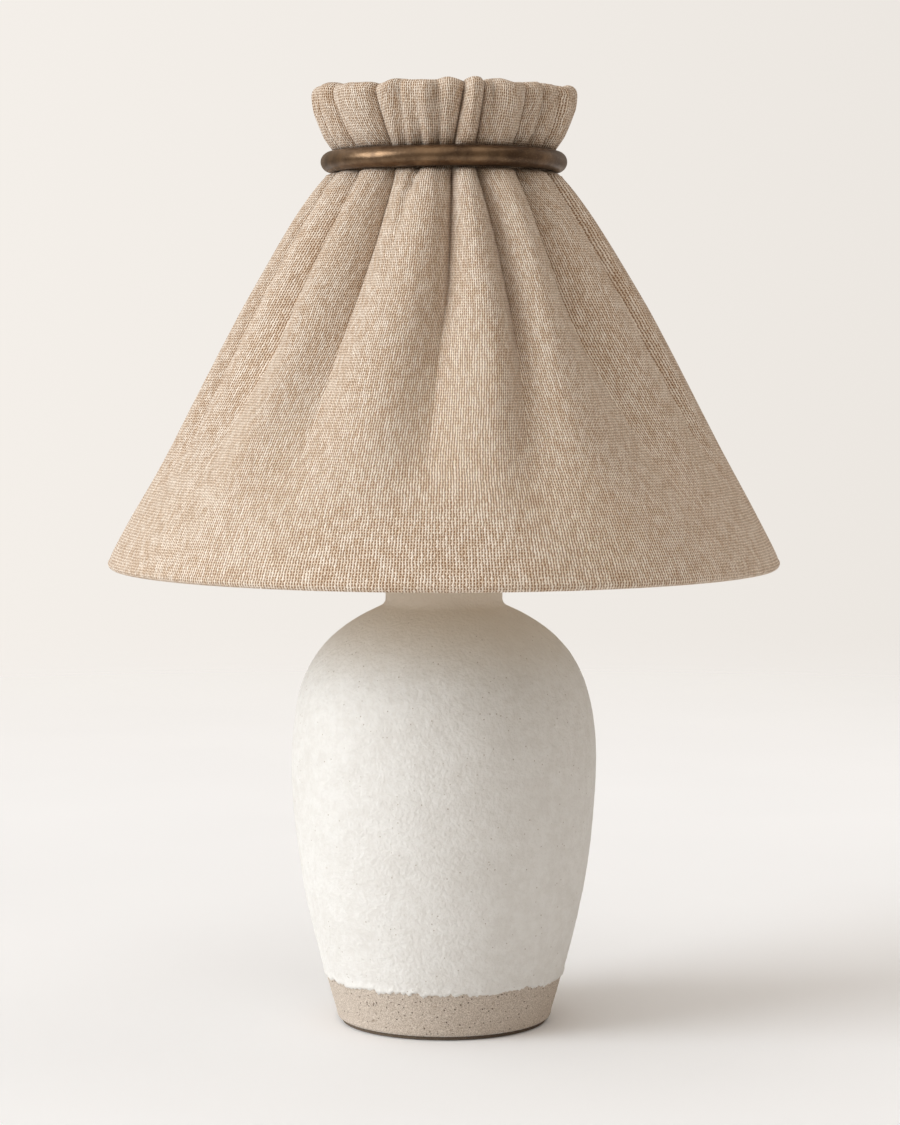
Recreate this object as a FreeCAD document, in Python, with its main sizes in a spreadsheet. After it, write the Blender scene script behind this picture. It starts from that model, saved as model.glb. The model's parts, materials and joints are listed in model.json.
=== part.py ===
"""Table lamp: glazed stoneware jar, harp and lampholder, and a gathered linen shade in a bronze ring.

All sizes are millimetres. +Z is up, the front faces -Y, and the origin is the middle of the felt pad's
underside, where the lamp stands. Each sub-part is one object of the document and one STEP file.
"""

import FreeCAD
import Part
import Sketcher
import math
import os
import re

# ---------------------------------------------------------------------------------------------------
# Driving sizes. A radius is measured from the piece's own axis, and a height from the piece below it.
# ---------------------------------------------------------------------------------------------------
SIZES = {
    # clearances
    "soft_gap": 0.35,             # between cloth and what it lies on
    "seat_gap": 0.3,              # between curved faces of pieces that move past each other
    "running_fit": 0.06,          # radial clearance of a shaft that turns in its hole
    "slip_fit": 0.1,              # radial clearance of pieces that slide together and stay
    # jar
    "pad_thickness": 2,
    "pad_inset": 3,
    "body_height": 266,
    "body_wall": 6,
    "foot_radius": 64.5,
    "foot_edge": 2,
    "flank_radius": 76,           # the four control points of the jar's outline, at shares of its height
    "flank_share": 0.158,
    "waist_radius": 88,
    "waist_share": 0.335,
    "shoulder_radius": 96,
    "shoulder_share": 0.729,
    "crown_radius": 71,
    "crown_share": 0.88,
    "neck_radius": 35,
    "neck_length": 17,
    "recess_radius": 50,
    "recess_depth": 20,
    "floor_thickness": 8,
    # cord outlet at the back of the foot
    "outlet_height": 10,
    "outlet_bore": 3.25,
    "grommet_radius": 5.5,
    "grommet_flange": 7.5,
    "grommet_lip": 1.5,
    "outlet_seat": 1,
    # tie rod and its fastenings
    "pipe_radius": 5,
    "pipe_bore": 3.6,
    "pipe_end": 6,
    "nut_flats": 17,
    "nut_height": 5,
    "lock_washer_radius": 8.5,
    "lock_washer_height": 2,
    "lock_washer_slit": 1.2,
    "steel_washer_radius": 19,
    "steel_washer_height": 2,
    "rubber_washer_radius": 16,
    "rubber_washer_height": 2,
    # cap of the neck, spacer and saddle
    "cap_overhang": 1.5,
    "cap_plate": 1.5,
    "cap_rise": 8,
    "cap_boss": 14,
    "cap_collar": 6,
    "spacer_radius": 8,
    "spacer_height": 8,
    "saddle_width": 14,
    "saddle_thickness": 1.6,
    "prong_height": 10,
    # lampholder
    "holder_collar": 8,
    "holder_collar_height": 7,
    "holder_cone_top": 14,
    "holder_ledge": 15,
    "holder_rim": 22,
    "cap_sheet": 0.9,
    "shell_sheet": 0.6,
    "shell_length": 49,
    "sleeve_sheet": 0.6,
    "sleeve_length": 45,
    "block_base": 3,
    "block_waist": 2.25,
    "block_height": 21,
    "block_head": 3,
    "socket_room": 1.15,
    "socket_sheet": 0.4,
    "socket_length": 24,
    "contact_radius": 3.5,
    "contact_height": 2.2,
    "contact_room": 3,
    "terminal_height": 9,
    "terminal_shank": 1.6,
    "terminal_depth": 4,
    "terminal_head": 3,
    "terminal_head_height": 1.8,
    # turn switch
    "switch_height": 12,
    "switch_shaft": 1.6,
    "switch_depth": 6,
    "knob_gap": 2,
    "knob_radius": 5.5,
    "knob_length": 15,
    "knob_flute": 1.1,
    "knob_flutes": 10,
    # bulb
    "bulb_length": 108,
    "bulb_radius": 30,
    "bulb_neck_inset": 0.1,
    "bulb_neck_length": 4,
    "bulb_neck_bend": 12,
    "bulb_flare_bend": 24,
    "bulb_wall": 1.2,
    "bulb_cap_radius": 13,
    "bulb_cap_height": 19,
    "bulb_cap_sheet": 0.8,
    "bulb_insulator_height": 3.2,
    "bulb_insulator_step": 1,
    "bulb_tip_radius": 4.5,
    "bulb_tip_height": 1.6,
    # harp
    "harp_height": 202,
    "harp_wire": 1.9,
    "harp_leg": 34,
    "harp_leg_length": 36,
    "harp_belly": 60,
    "harp_belly_height": 105,
    "harp_shoulder": 46,
    "harp_bend": 30,
    "ferrule_wall": 0.9,
    "ferrule_length": 22,
    "eye_radius": 7,
    "eye_height": 4.4,
    "stud_radius": 3.1,
    "stud_length": 10,
    "stud_head": 5,
    "stud_head_height": 2,
    "stud_seat": 9,
    "stud_seat_height": 2,
    # shade
    "hub_radius": 12,
    "hub_thickness": 2,
    "spider_rise": 8.7,
    "spider_wire": 1.7,
    "spider_bend": 12,
    "spider_elbow": 12,
    "weld_depth": 0.6,
    "frame_wire": 2,
    "ring_radius": 67,
    "ring_tube": 6.25,
    "skirt_height": 239,
    "hem_radius": 200,
    "hem_edge": 1.2,
    "cloth_depth": 3.4,
    "liner_sheet": 1,
    "swell_room": 15.8,           # how far the puffed skirt stands off its lining, at three drops
    "swell_drop": 111,            # below the ring
    "puff_low_room": 19.1,
    "puff_low_drop": 76,
    "puff_high_room": 22.7,
    "puff_high_drop": 39,
    "ruffle_height": 45.5,
    "ruffle_root": 1,             # in from the ring's radius
    "ruffle_flare": 12.6,         # out from the ring's radius
    "ruffle_mouth": 1.5,          # in from the ring's radius
    "ruffle_edge": 5.8,
    # finial
    "bush_flange": 8,
    "bush_flange_height": 2,
    "bush_radius": 4.6,
    "knob_waist": 5.6,
    "knob_foot": 6.6,
    "finial_radius": 12.5,
    "finial_height": 24.5,
}

# ---------------------------------------------------------------------------------------------------
# Levels and radii that follow from the driving sizes, as expressions on them.
# ---------------------------------------------------------------------------------------------------
RECESS_TOP = "(pad_thickness + recess_depth)"
FLOOR_TOP = f"({RECESS_TOP} + floor_thickness)"
NECK_TOP = "(pad_thickness + body_height)"
NECK_FOOT = f"({NECK_TOP} - neck_length)"
NECK_BORE = "(neck_radius - body_wall)"
OUTLET_LEVEL = "(pad_thickness + outlet_height)"
OUTLET_SEAT = "(foot_radius + outlet_seat)"

RUBBER_FOOT = f"({RECESS_TOP} - rubber_washer_height)"
STEEL_FOOT = f"({RUBBER_FOOT} - steel_washer_height)"
LOCK_FOOT = f"({STEEL_FOOT} - lock_washer_height)"
NUT_FOOT = f"({LOCK_FOOT} - nut_height)"
PIPE_HOLE = "(pipe_radius + slip_fit)"

CAP_TOP = f"({NECK_TOP} + cap_rise)"
SPACER_TOP = f"({CAP_TOP} + spacer_height)"
SADDLE_TOP = f"({SPACER_TOP} + saddle_thickness)"
PRONG_TOP = f"({SADDLE_TOP} + prong_height)"
PIPE_TOP = f"({SADDLE_TOP} + holder_collar_height)"

LEDGE = f"({SADDLE_TOP} + holder_ledge)"
SOCKET_BORE = "(bulb_cap_radius + seat_gap)"
SOCKET_OUTSIDE = f"({SOCKET_BORE} + socket_sheet)"
SLEEVE_BORE = f"({SOCKET_OUTSIDE} + socket_room)"
SLEEVE_RADIUS = f"({SLEEVE_BORE} + sleeve_sheet)"
SHELL_BORE = f"({SLEEVE_RADIUS} + slip_fit)"
SHELL_RADIUS = f"({SHELL_BORE} + shell_sheet)"
CAP_BORE = f"({SHELL_RADIUS} + slip_fit)"
HOLDER_RADIUS = f"({CAP_BORE} + cap_sheet)"
BLOCK_FLANGE = f"({SLEEVE_BORE} - slip_fit)"
BLOCK_RADIUS = f"({SOCKET_OUTSIDE} - block_waist)"
BLOCK_TOP = f"({LEDGE} + block_height)"
SWITCH_LEVEL = f"({LEDGE} + switch_height)"
TERMINAL_LEVEL = f"({LEDGE} + terminal_height)"
KNOB_START = f"({HOLDER_RADIUS} + knob_gap)"

BULB_FOOT = f"({BLOCK_TOP} + contact_height)"
BULB_TOP = f"({BULB_FOOT} + bulb_length)"
BULB_CAP_FOOT = f"({BULB_FOOT} + bulb_tip_height + bulb_insulator_height)"
BULB_CAP_TOP = f"({BULB_CAP_FOOT} + bulb_cap_height)"

HARP_TOP = f"({SADDLE_TOP} + harp_height)"
EYE_FOOT = f"({HARP_TOP} - eye_height / 2)"
EYE_TOP = f"({HARP_TOP} + eye_height / 2)"
STUD_NECK = "(stud_radius - running_fit)"
SEAT_TOP = f"({EYE_TOP} + stud_seat_height)"
HUB_TOP = f"({SEAT_TOP} + hub_thickness)"
HUB_MIDDLE = f"({SEAT_TOP} + hub_thickness / 2)"

TOP_WIRE_LEVEL = f"({HUB_MIDDLE} + spider_rise)"
LINER_TOP = f"({TOP_WIRE_LEVEL} + frame_wire)"
SHELF_FOOT = f"({LINER_TOP} + soft_gap)"
SHELF_TOP = f"({SHELF_FOOT} + cloth_depth)"
RING_LEVEL = f"({SHELF_TOP} + soft_gap + ring_tube)"
HEM_LEVEL = f"({RING_LEVEL} - skirt_height)"
RUFFLE_FOOT = f"({RING_LEVEL} + ring_tube + soft_gap)"
RUFFLE_TOP = f"({RING_LEVEL} + ruffle_height)"
CLOTH_NECK = "(ring_radius - ring_tube - soft_gap)"
CLOTH_NECK_BORE = f"({CLOTH_NECK} - cloth_depth)"
LINER_TOP_RADIUS = f"({CLOTH_NECK_BORE} - soft_gap)"
LINER_HEM_RADIUS = "(hem_radius - cloth_depth - soft_gap)"
LINER_SLOPE = f"(({LINER_HEM_RADIUS} - {LINER_TOP_RADIUS}) / ({LINER_TOP} - {HEM_LEVEL}))"
SLANT = f"sqrt(1 + {LINER_SLOPE} * {LINER_SLOPE})"
LINER_ACROSS = f"(liner_sheet * {SLANT})"
WIRE_INSET = f"({LINER_ACROSS} + (frame_wire + slip_fit) * {SLANT})"
TOP_WIRE_RADIUS = f"({LINER_TOP_RADIUS} + {LINER_SLOPE} * frame_wire - {WIRE_INSET})"
HEM_WIRE_LEVEL = f"({HEM_LEVEL} + frame_wire + hem_edge)"
HEM_WIRE_RADIUS = f"({LINER_HEM_RADIUS} - {LINER_SLOPE} * (frame_wire + hem_edge) - {WIRE_INSET})"

doc = FreeCAD.newDocument("table_lamp")
sheet = doc.addObject("Spreadsheet::Sheet", "lamp")
for row, (alias, number) in enumerate(SIZES.items(), start=1):
    sheet.set(f"A{row}", alias)
    sheet.set(f"B{row}", str(number))
    sheet.setAlias(f"B{row}", alias)
doc.recompute()

PARTS = []


# ---------------------------------------------------------------------------------------------------
# Helpers
# ---------------------------------------------------------------------------------------------------
def linked(expression):
    """The expression with each size named as a cell of the sheet."""
    def cell(word):
        return f"lamp.{word[0]}" if word[0] in SIZES else word[0]

    return re.sub(r"[a-z][a-z_]+", cell, expression)


def value(expression):
    """The number that an expression on the sheet comes to."""
    return float(sheet.evalExpression(linked(expression)))


def bind(item, name, expression):
    item.setExpression(name, linked(expression))


def keep(item, label):
    """Give a finished sub-part its name and list it for export."""
    item.Label = label
    PARTS.append(item)
    return item


def new_body(label):
    return keep(doc.addObject("PartDesign::Body", label), label)


def new_sketch(body, name, plane, offset="0"):
    """A sketch on one of the body's own origin planes, moved off it by an expression."""
    sketch = body.newObject("Sketcher::SketchObject", name)
    origin_plane = next(item for item in body.Origin.OriginFeatures if item.Role == plane)
    sketch.AttachmentSupport = [(origin_plane, "")]
    sketch.MapMode = "FlatFace"
    bind(sketch, "AttachmentOffset.Base.z", offset)
    return sketch


def pin_down(sketch, geometry, point, across, up):
    """Hold one point of a sketch at two expressions, measured from the sketch's origin."""
    for direction, expression in (("DistanceX", across), ("DistanceY", up)):
        constraint = Sketcher.Constraint(direction, -1, 1, geometry, point, value(expression))
        index = sketch.addConstraint(constraint)
        bind(sketch, f"Constraints[{index}]", expression)


def bend(before, corner, after, radius):
    """Start, middle and end of the arc of a radius that rounds a corner between two runs."""
    back = (before - corner).normalize()
    ahead = (after - corner).normalize()
    half = back.getAngle(ahead) / 2
    reach = radius / math.tan(half)
    inward = (back + ahead).normalize()
    middle = corner + inward * (radius / math.sin(half) - radius)
    return corner + back * reach, middle, corner + ahead * reach


def round_corner(sketch, corner, point, arc_points, before, after):
    """Add the arc that rounds a corner, tangent to the runs on both sides of it."""
    marker = sketch.addGeometry(Part.Point(point), True)
    pin_down(sketch, marker, 1, corner[0], corner[1])
    sketch.addConstraint(Sketcher.Constraint("PointOnObject", marker, 1, before))
    sketch.addConstraint(Sketcher.Constraint("PointOnObject", marker, 1, after))
    curve = sketch.addGeometry(Part.Arc(*arc_points), False)
    starts_here = sketch.getPoint(curve, 1).distanceToPoint(arc_points[0]) < 1e-6
    first, last = (1, 2) if starts_here else (2, 1)
    sketch.addConstraint(Sketcher.Constraint("Tangent", before, 2, curve, first))
    sketch.addConstraint(Sketcher.Constraint("Tangent", after, 1, curve, last))
    radius = sketch.addConstraint(Sketcher.Constraint("Radius", curve, value(corner[2])))
    bind(sketch, f"Constraints[{radius}]", corner[2])


def draw(sketch, corners, closed=True):
    """Straight runs between corners given as expressions; a third expression rounds that corner."""
    points = [FreeCAD.Vector(value(corner[0]), value(corner[1]), 0) for corner in corners]
    count = len(points)
    arcs = {}
    for index, corner in enumerate(corners):
        if len(corner) == 3:
            after = points[(index + 1) % count]
            arcs[index] = bend(points[index - 1], points[index], after, value(corner[2]))
    runs = count if closed else count - 1
    lines = []
    for index in range(runs):
        after = (index + 1) % count
        start = arcs[index][2] if index in arcs else points[index]
        end = arcs[after][0] if after in arcs else points[after]
        lines.append(sketch.addGeometry(Part.LineSegment(start, end), False))
    for index, corner in enumerate(corners):
        first_of_open = not closed and index == 0
        last_of_open = not closed and index == count - 1
        if last_of_open:
            pin_down(sketch, lines[-1], 2, corner[0], corner[1])
            continue
        if index in arcs:
            round_corner(sketch, corner, points[index], arcs[index], lines[index - 1], lines[index])
            continue
        if not first_of_open:
            sketch.addConstraint(Sketcher.Constraint("Coincident", lines[index - 1], 2, lines[index], 1))
        pin_down(sketch, lines[index], 1, corner[0], corner[1])
    return lines


def draw_curve(sketch, poles):
    """A smooth curve held at its control points, each given as two expressions."""
    spots = [FreeCAD.Vector(value(across), value(up), 0) for across, up in poles]
    inner_knots = len(poles) - 4
    knots = list(range(inner_knots + 2))
    repeats = [4] + [1] * inner_knots + [4]
    spline = Part.BSplineCurve()
    spline.buildFromPolesMultsKnots(spots, repeats, knots, False, 3)
    curve = sketch.addGeometry(spline, False)
    sketch.exposeInternalGeometry(curve)
    for index, (across, up) in enumerate(poles):
        pole = curve + 1 + index
        pin_down(sketch, pole, 3, across, up)
    return curve


def close_curve(sketch, curve, poles, corners):
    """Straight runs from the end of a curve, through sharp corners, back to its start."""
    stops = [poles[-1]] + corners + [poles[0]]
    before = (curve, 2)
    for (x_from, z_from), (x_to, z_to) in zip(stops, stops[1:]):
        start = FreeCAD.Vector(value(x_from), value(z_from), 0)
        end = FreeCAD.Vector(value(x_to), value(z_to), 0)
        line = sketch.addGeometry(Part.LineSegment(start, end), False)
        sketch.addConstraint(Sketcher.Constraint("Coincident", *before, line, 1))
        before = (line, 2)
        if (x_to, z_to) in corners:
            pin_down(sketch, line, 2, x_to, z_to)
    sketch.addConstraint(Sketcher.Constraint("Coincident", *before, curve, 1))


def spin(body, sketch, groove=False):
    """Turn a sketch a full circle about the body's upright axis, to add or to cut."""
    kind = "PartDesign::Groove" if groove else "PartDesign::Revolution"
    feature = body.newObject(kind, sketch.Name + "_turn")
    feature.Profile = sketch
    feature.ReferenceAxis = (sketch, ["V_Axis"])
    feature.Angle = 360
    return feature


def turned(label, corners):
    """A body turned on a lathe from a closed outline of (radius, height) corners."""
    body = new_body(label)
    sketch = new_sketch(body, label + "_outline", "XZ_Plane")
    draw(sketch, corners)
    spin(body, sketch)
    return body


SIDES = {
    "back": ("XZ_Plane", "-1", False),
    "front": ("XZ_Plane", "1", True),
    "right": ("YZ_Plane", "1", True),
    "left": ("YZ_Plane", "-1", False),
}


def circle_on(sketch, across, up, radius):
    """A circle of a radius, held at two expressions."""
    centre = FreeCAD.Vector(value(across), value(up), 0)
    circle = sketch.addGeometry(Part.Circle(centre, FreeCAD.Vector(0, 0, 1), value(radius)))
    pin_down(sketch, circle, 3, across, up)
    size = sketch.addConstraint(Sketcher.Constraint("Radius", circle, value(radius)))
    bind(sketch, f"Constraints[{size}]", radius)


def drill(body, radius, height, side, start="0"):
    """A round hole from a distance off the axis outwards, to one side of the lamp."""
    plane, sign, flipped = SIDES[side]
    name = f"{body.Name}_hole_{side}_{len(body.Group)}"
    sketch = new_sketch(body, name, plane, f"{sign} * ({start})")
    circle_on(sketch, "0", height, radius)
    pocket = body.newObject("PartDesign::Pocket", name + "_cut")
    pocket.Profile = sketch
    pocket.Type = "ThroughAll"
    pocket.Reversed = flipped
    return pocket


def stand(body, across="0", back="0", up="0", axis=(0, 0, 1), degrees=0):
    """Put a piece made about its own axis in its place on the lamp."""
    turn = FreeCAD.Rotation(FreeCAD.Vector(*axis), degrees)
    body.Placement = FreeCAD.Placement(FreeCAD.Vector(), turn)
    bind(body, "Placement.Base.x", across)
    bind(body, "Placement.Base.y", back)
    bind(body, "Placement.Base.z", up)
    return body


def bent_wire(label, corners, radius, starts_upright):
    """A round wire bent in the body's XZ plane; its first run goes up or straight out."""
    body = new_body(label)
    spine = new_sketch(body, label + "_centreline", "XZ_Plane")
    draw(spine, corners, closed=False)
    across, up = corners[0][:2]
    if starts_upright:
        section = new_sketch(body, label + "_section", "XY_Plane", up)
        circle_on(section, across, "0", radius)
    else:
        section = new_sketch(body, label + "_section", "YZ_Plane", across)
        circle_on(section, "0", up, radius)
    doc.recompute()
    sweep = body.newObject("PartDesign::AdditivePipe", label + "_sweep")
    sweep.Profile = section
    sweep.Spine = (spine, [f"Edge{index + 1}" for index in range(len(spine.Shape.Edges))])
    return body


def wire_ring(label, radius, tube, level):
    """A closed round ring, lying level on the lamp's axis."""
    ring = keep(doc.addObject("Part::Torus", label), label)
    bind(ring, "Radius1", radius)
    bind(ring, "Radius2", tube)
    bind(ring, "Placement.Base.z", level)
    return ring


def upright_cylinder(name, radius, foot, height):
    cylinder = doc.addObject("Part::Cylinder", name)
    bind(cylinder, "Radius", radius)
    bind(cylinder, "Height", height)
    bind(cylinder, "Placement.Base.z", foot)
    return cylinder


def cut(label, base, tool):
    piece = doc.addObject("Part::Cut", label)
    piece.Base = base
    piece.Tool = tool
    return piece


# ---------------------------------------------------------------------------------------------------
# Jar, foot and cord outlet
# ---------------------------------------------------------------------------------------------------
def felt_pad():
    radius = "foot_radius - pad_inset"
    turned("felt_pad", [("0", "0"), (radius, "0"), (radius, "pad_thickness"), ("0", "pad_thickness")])


def jar_poles(inset):
    """Control points of the jar's outside, or of its inside when they are moved in by the wall."""
    return [
        (f"foot_radius - {inset}", "pad_thickness + foot_edge"),
        (f"flank_radius - {inset}", "pad_thickness + flank_share * body_height"),
        (f"waist_radius - {inset}", "pad_thickness + waist_share * body_height"),
        (f"shoulder_radius - {inset}", f"pad_thickness + shoulder_share * body_height - {inset} / 2"),
        (f"crown_radius - {inset}", f"pad_thickness + crown_share * body_height - {inset}"),
        (f"neck_radius - {inset}", f"{NECK_FOOT} - {inset}"),
    ]


def ceramic_body():
    body = new_body("ceramic_body")
    outside = new_sketch(body, "jar_outside", "XZ_Plane")
    poles = jar_poles("0")
    curve = draw_curve(outside, poles)
    corners = [
        ("neck_radius", NECK_TOP),
        ("0", NECK_TOP),
        ("0", "pad_thickness"),
        ("foot_radius - foot_edge", "pad_thickness"),
    ]
    close_curve(outside, curve, poles, corners)
    spin(body, outside)
    inside = new_sketch(body, "jar_inside", "XZ_Plane")
    poles = jar_poles("body_wall")
    poles[0] = (poles[0][0], FLOOR_TOP)
    curve = draw_curve(inside, poles)
    corners = [
        (NECK_BORE, NECK_TOP),
        ("0", NECK_TOP),
        ("0", FLOOR_TOP),
    ]
    close_curve(inside, curve, poles, corners)
    spin(body, inside, groove=True)
    foot = new_sketch(body, "jar_recess", "XZ_Plane")
    draw(foot, [
        ("0", "pad_thickness"),
        ("recess_radius", "pad_thickness"),
        ("recess_radius", RECESS_TOP, "2 * foot_edge"),
        (PIPE_HOLE, RECESS_TOP),
        (PIPE_HOLE, FLOOR_TOP),
        ("0", FLOOR_TOP),
    ])
    spin(body, foot, groove=True)
    drill(body, "grommet_radius + slip_fit", OUTLET_LEVEL, "back")
    drill(body, "grommet_flange + slip_fit", OUTLET_LEVEL, "back", OUTLET_SEAT)


def cord_grommet():
    body = turned("cord_grommet", [
        ("outlet_bore", "recess_radius"),
        ("grommet_radius", "recess_radius"),
        ("grommet_radius", OUTLET_SEAT),
        ("grommet_flange", OUTLET_SEAT),
        ("grommet_flange", f"{OUTLET_SEAT} + grommet_lip", "grommet_lip / 2"),
        ("outlet_bore", f"{OUTLET_SEAT} + grommet_lip", "grommet_lip / 2"),
    ])
    stand(body, up=OUTLET_LEVEL, axis=(1, 0, 0), degrees=-90)


# ---------------------------------------------------------------------------------------------------
# Tie rod through the jar, with what clamps it under the floor
# ---------------------------------------------------------------------------------------------------
def flat_washer(label, radius, foot, height):
    top = f"{foot} + {height}"
    turned(label, [(PIPE_HOLE, foot), (radius, foot), (radius, top), (PIPE_HOLE, top)])


def lamp_pipe():
    foot = f"({NUT_FOOT} - pipe_end)"
    outline = [("pipe_bore", foot), ("pipe_radius", foot), ("pipe_radius", PIPE_TOP), ("pipe_bore", PIPE_TOP)]
    turned("lamp_pipe", outline)


def lock_washer():
    outside = upright_cylinder("lock_washer_disc", "lock_washer_radius", LOCK_FOOT, "lock_washer_height")
    hole = upright_cylinder("lock_washer_hole", PIPE_HOLE, LOCK_FOOT, "lock_washer_height")
    slit = doc.addObject("Part::Box", "lock_washer_slit_tool")
    bind(slit, "Length", "lock_washer_radius")
    bind(slit, "Width", "lock_washer_slit")
    bind(slit, "Height", "lock_washer_height")
    bind(slit, "Placement.Base.y", "-lock_washer_slit / 2")
    bind(slit, "Placement.Base.z", LOCK_FOOT)
    keep(cut("lock_washer", cut("lock_washer_round", outside, hole), slit), "lock_washer")


def base_nut():
    hexagon = doc.addObject("Part::Prism", "base_nut_hexagon")
    hexagon.Polygon = 6
    bind(hexagon, "Circumradius", "nut_flats / sqrt(3)")
    bind(hexagon, "Height", "nut_height")
    bind(hexagon, "Placement.Base.z", NUT_FOOT)
    hole = upright_cylinder("base_nut_hole", "pipe_radius + running_fit", NUT_FOOT, "nut_height")
    keep(cut("base_nut", hexagon, hole), "base_nut")


# ---------------------------------------------------------------------------------------------------
# Neck cap, spacer and harp saddle
# ---------------------------------------------------------------------------------------------------
def vase_cap():
    rim = "(neck_radius + cap_overhang)"
    collar = f"({NECK_BORE} - seat_gap)"
    collar_bore = f"({collar} - cap_plate)"
    turned("vase_cap", [
        (rim, NECK_TOP),
        (rim, f"{NECK_TOP} + cap_plate", "cap_plate / 2"),
        ("cap_boss", CAP_TOP, "cap_boss / 3"),
        (PIPE_HOLE, CAP_TOP),
        (PIPE_HOLE, f"{CAP_TOP} - cap_plate"),
        ("cap_boss", f"{CAP_TOP} - cap_plate", "cap_boss / 3"),
        (collar_bore, f"{NECK_TOP} + cap_plate / 2"),
        (collar_bore, f"{NECK_TOP} - cap_collar"),
        (collar, f"{NECK_TOP} - cap_collar"),
        (collar, NECK_TOP),
    ])


def neck_spacer():
    turned("neck_spacer", [
        (PIPE_HOLE, CAP_TOP),
        ("spacer_radius", CAP_TOP, "cap_plate"),
        ("spacer_radius", SPACER_TOP, "cap_plate"),
        (PIPE_HOLE, SPACER_TOP),
    ])


def harp_saddle():
    body = new_body("harp_saddle")
    reach = "(harp_leg + harp_wire + ferrule_wall + slip_fit)"
    half = "saddle_width / 2"
    plan = new_sketch(body, "saddle_plan", "XY_Plane", SPACER_TOP)
    draw(plan, [
        (f"-{reach}", f"-{half}", "saddle_width / 4"),
        (reach, f"-{half}", "saddle_width / 4"),
        (reach, half, "saddle_width / 4"),
        (f"-{reach}", half, "saddle_width / 4"),
    ])
    circle_on(plan, "0", "0", PIPE_HOLE)
    strip = body.newObject("PartDesign::Pad", "saddle_strip")
    strip.Profile = plan
    bind(strip, "Length", "saddle_thickness")
    prongs = new_sketch(body, "saddle_prongs", "XY_Plane", f"{SADDLE_TOP}")
    circle_on(prongs, "harp_leg", "0", "harp_wire")
    circle_on(prongs, "-harp_leg", "0", "harp_wire")
    posts = body.newObject("PartDesign::Pad", "saddle_posts")
    posts.Profile = prongs
    bind(posts, "Length", "prong_height")


# ---------------------------------------------------------------------------------------------------
# Lampholder
# ---------------------------------------------------------------------------------------------------
def socket_cap():
    cone_foot = f"{SADDLE_TOP} + holder_collar_height"
    ledge_bore = f"({BLOCK_FLANGE} - slip_fit * 3)"
    turned("socket_cap", [
        (PIPE_HOLE, SADDLE_TOP),
        ("holder_collar", SADDLE_TOP, "cap_sheet"),
        ("holder_collar", cone_foot, "cap_sheet"),
        (HOLDER_RADIUS, f"{SADDLE_TOP} + holder_cone_top", "cap_sheet * 2"),
        (HOLDER_RADIUS, f"{SADDLE_TOP} + holder_rim"),
        (CAP_BORE, f"{SADDLE_TOP} + holder_rim"),
        (CAP_BORE, LEDGE),
        (ledge_bore, LEDGE),
        (PIPE_HOLE, f"{cone_foot} + slip_fit"),
    ])


def socket_shell():
    top = f"{LEDGE} + shell_length"
    outline = [(SHELL_BORE, LEDGE), (SHELL_RADIUS, LEDGE), (SHELL_RADIUS, top), (SHELL_BORE, top)]
    drill(turned("socket_shell", outline), "switch_shaft + seat_gap", SWITCH_LEVEL, "front")


def socket_sleeve():
    top = f"{LEDGE} + sleeve_length"
    outline = [(SLEEVE_BORE, LEDGE), (SLEEVE_RADIUS, LEDGE), (SLEEVE_RADIUS, top), (SLEEVE_BORE, top)]
    drill(turned("socket_sleeve", outline), "switch_shaft + seat_gap", SWITCH_LEVEL, "front")


def socket_block():
    waist_foot = f"{LEDGE} + block_base"
    waist_top = f"{BLOCK_TOP} - block_head"
    body = turned("socket_block", [
        ("0", LEDGE),
        (BLOCK_FLANGE, LEDGE),
        (BLOCK_FLANGE, waist_foot),
        (BLOCK_RADIUS, waist_foot, "cap_sheet"),
        (BLOCK_RADIUS, waist_top, "cap_sheet"),
        (f"{SOCKET_OUTSIDE} + slip_fit", waist_top),
        (f"{SOCKET_OUTSIDE} + slip_fit", BLOCK_TOP),
        ("0", BLOCK_TOP),
    ])
    drill(body, "switch_shaft + running_fit", SWITCH_LEVEL, "front", "switch_depth")
    terminal_end = f"{BLOCK_RADIUS} - terminal_depth - slip_fit"
    for side in ("left", "right"):
        drill(body, "terminal_shank + slip_fit", TERMINAL_LEVEL, side, terminal_end)


def terminal_screws():
    for side, lean in (("left", -90), ("right", 90)):
        sign = "-1" if side == "left" else "1"
        screw = turned(f"terminal_screw_{side}", [
            ("0", "-terminal_depth"),
            ("terminal_shank", "-terminal_depth"),
            ("terminal_shank", "0"),
            ("terminal_head", "0"),
            ("terminal_head", "terminal_head_height", "terminal_head_height / 2"),
            ("0", "terminal_head_height"),
        ])
        stand(screw, across=f"{sign} * {BLOCK_RADIUS}", up=TERMINAL_LEVEL, axis=(0, 1, 0), degrees=lean)


def screw_shell():
    top = f"{BLOCK_TOP} + socket_length"
    floor_bore = "(contact_radius + contact_room)"
    turned("screw_shell", [
        (floor_bore, BLOCK_TOP),
        (SOCKET_OUTSIDE, BLOCK_TOP),
        (SOCKET_OUTSIDE, top),
        (SOCKET_BORE, top),
        (SOCKET_BORE, f"{BLOCK_TOP} + socket_sheet"),
        (floor_bore, f"{BLOCK_TOP} + socket_sheet"),
    ])


def centre_contact():
    turned("centre_contact", [
        ("0", BLOCK_TOP),
        ("contact_radius", BLOCK_TOP),
        ("contact_radius", BULB_FOOT, "contact_height / 3"),
        ("0", BULB_FOOT),
    ])


# ---------------------------------------------------------------------------------------------------
# Turn switch, made upright and laid towards the front
# ---------------------------------------------------------------------------------------------------
def switch_shaft():
    end = f"{KNOB_START} + knob_length / 2"
    body = turned("switch_shaft", [
        ("0", "switch_depth + slip_fit"),
        ("switch_shaft", "switch_depth + slip_fit"),
        ("switch_shaft", end),
        ("0", end),
    ])
    stand(body, up=SWITCH_LEVEL, axis=(1, 0, 0), degrees=90)


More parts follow.
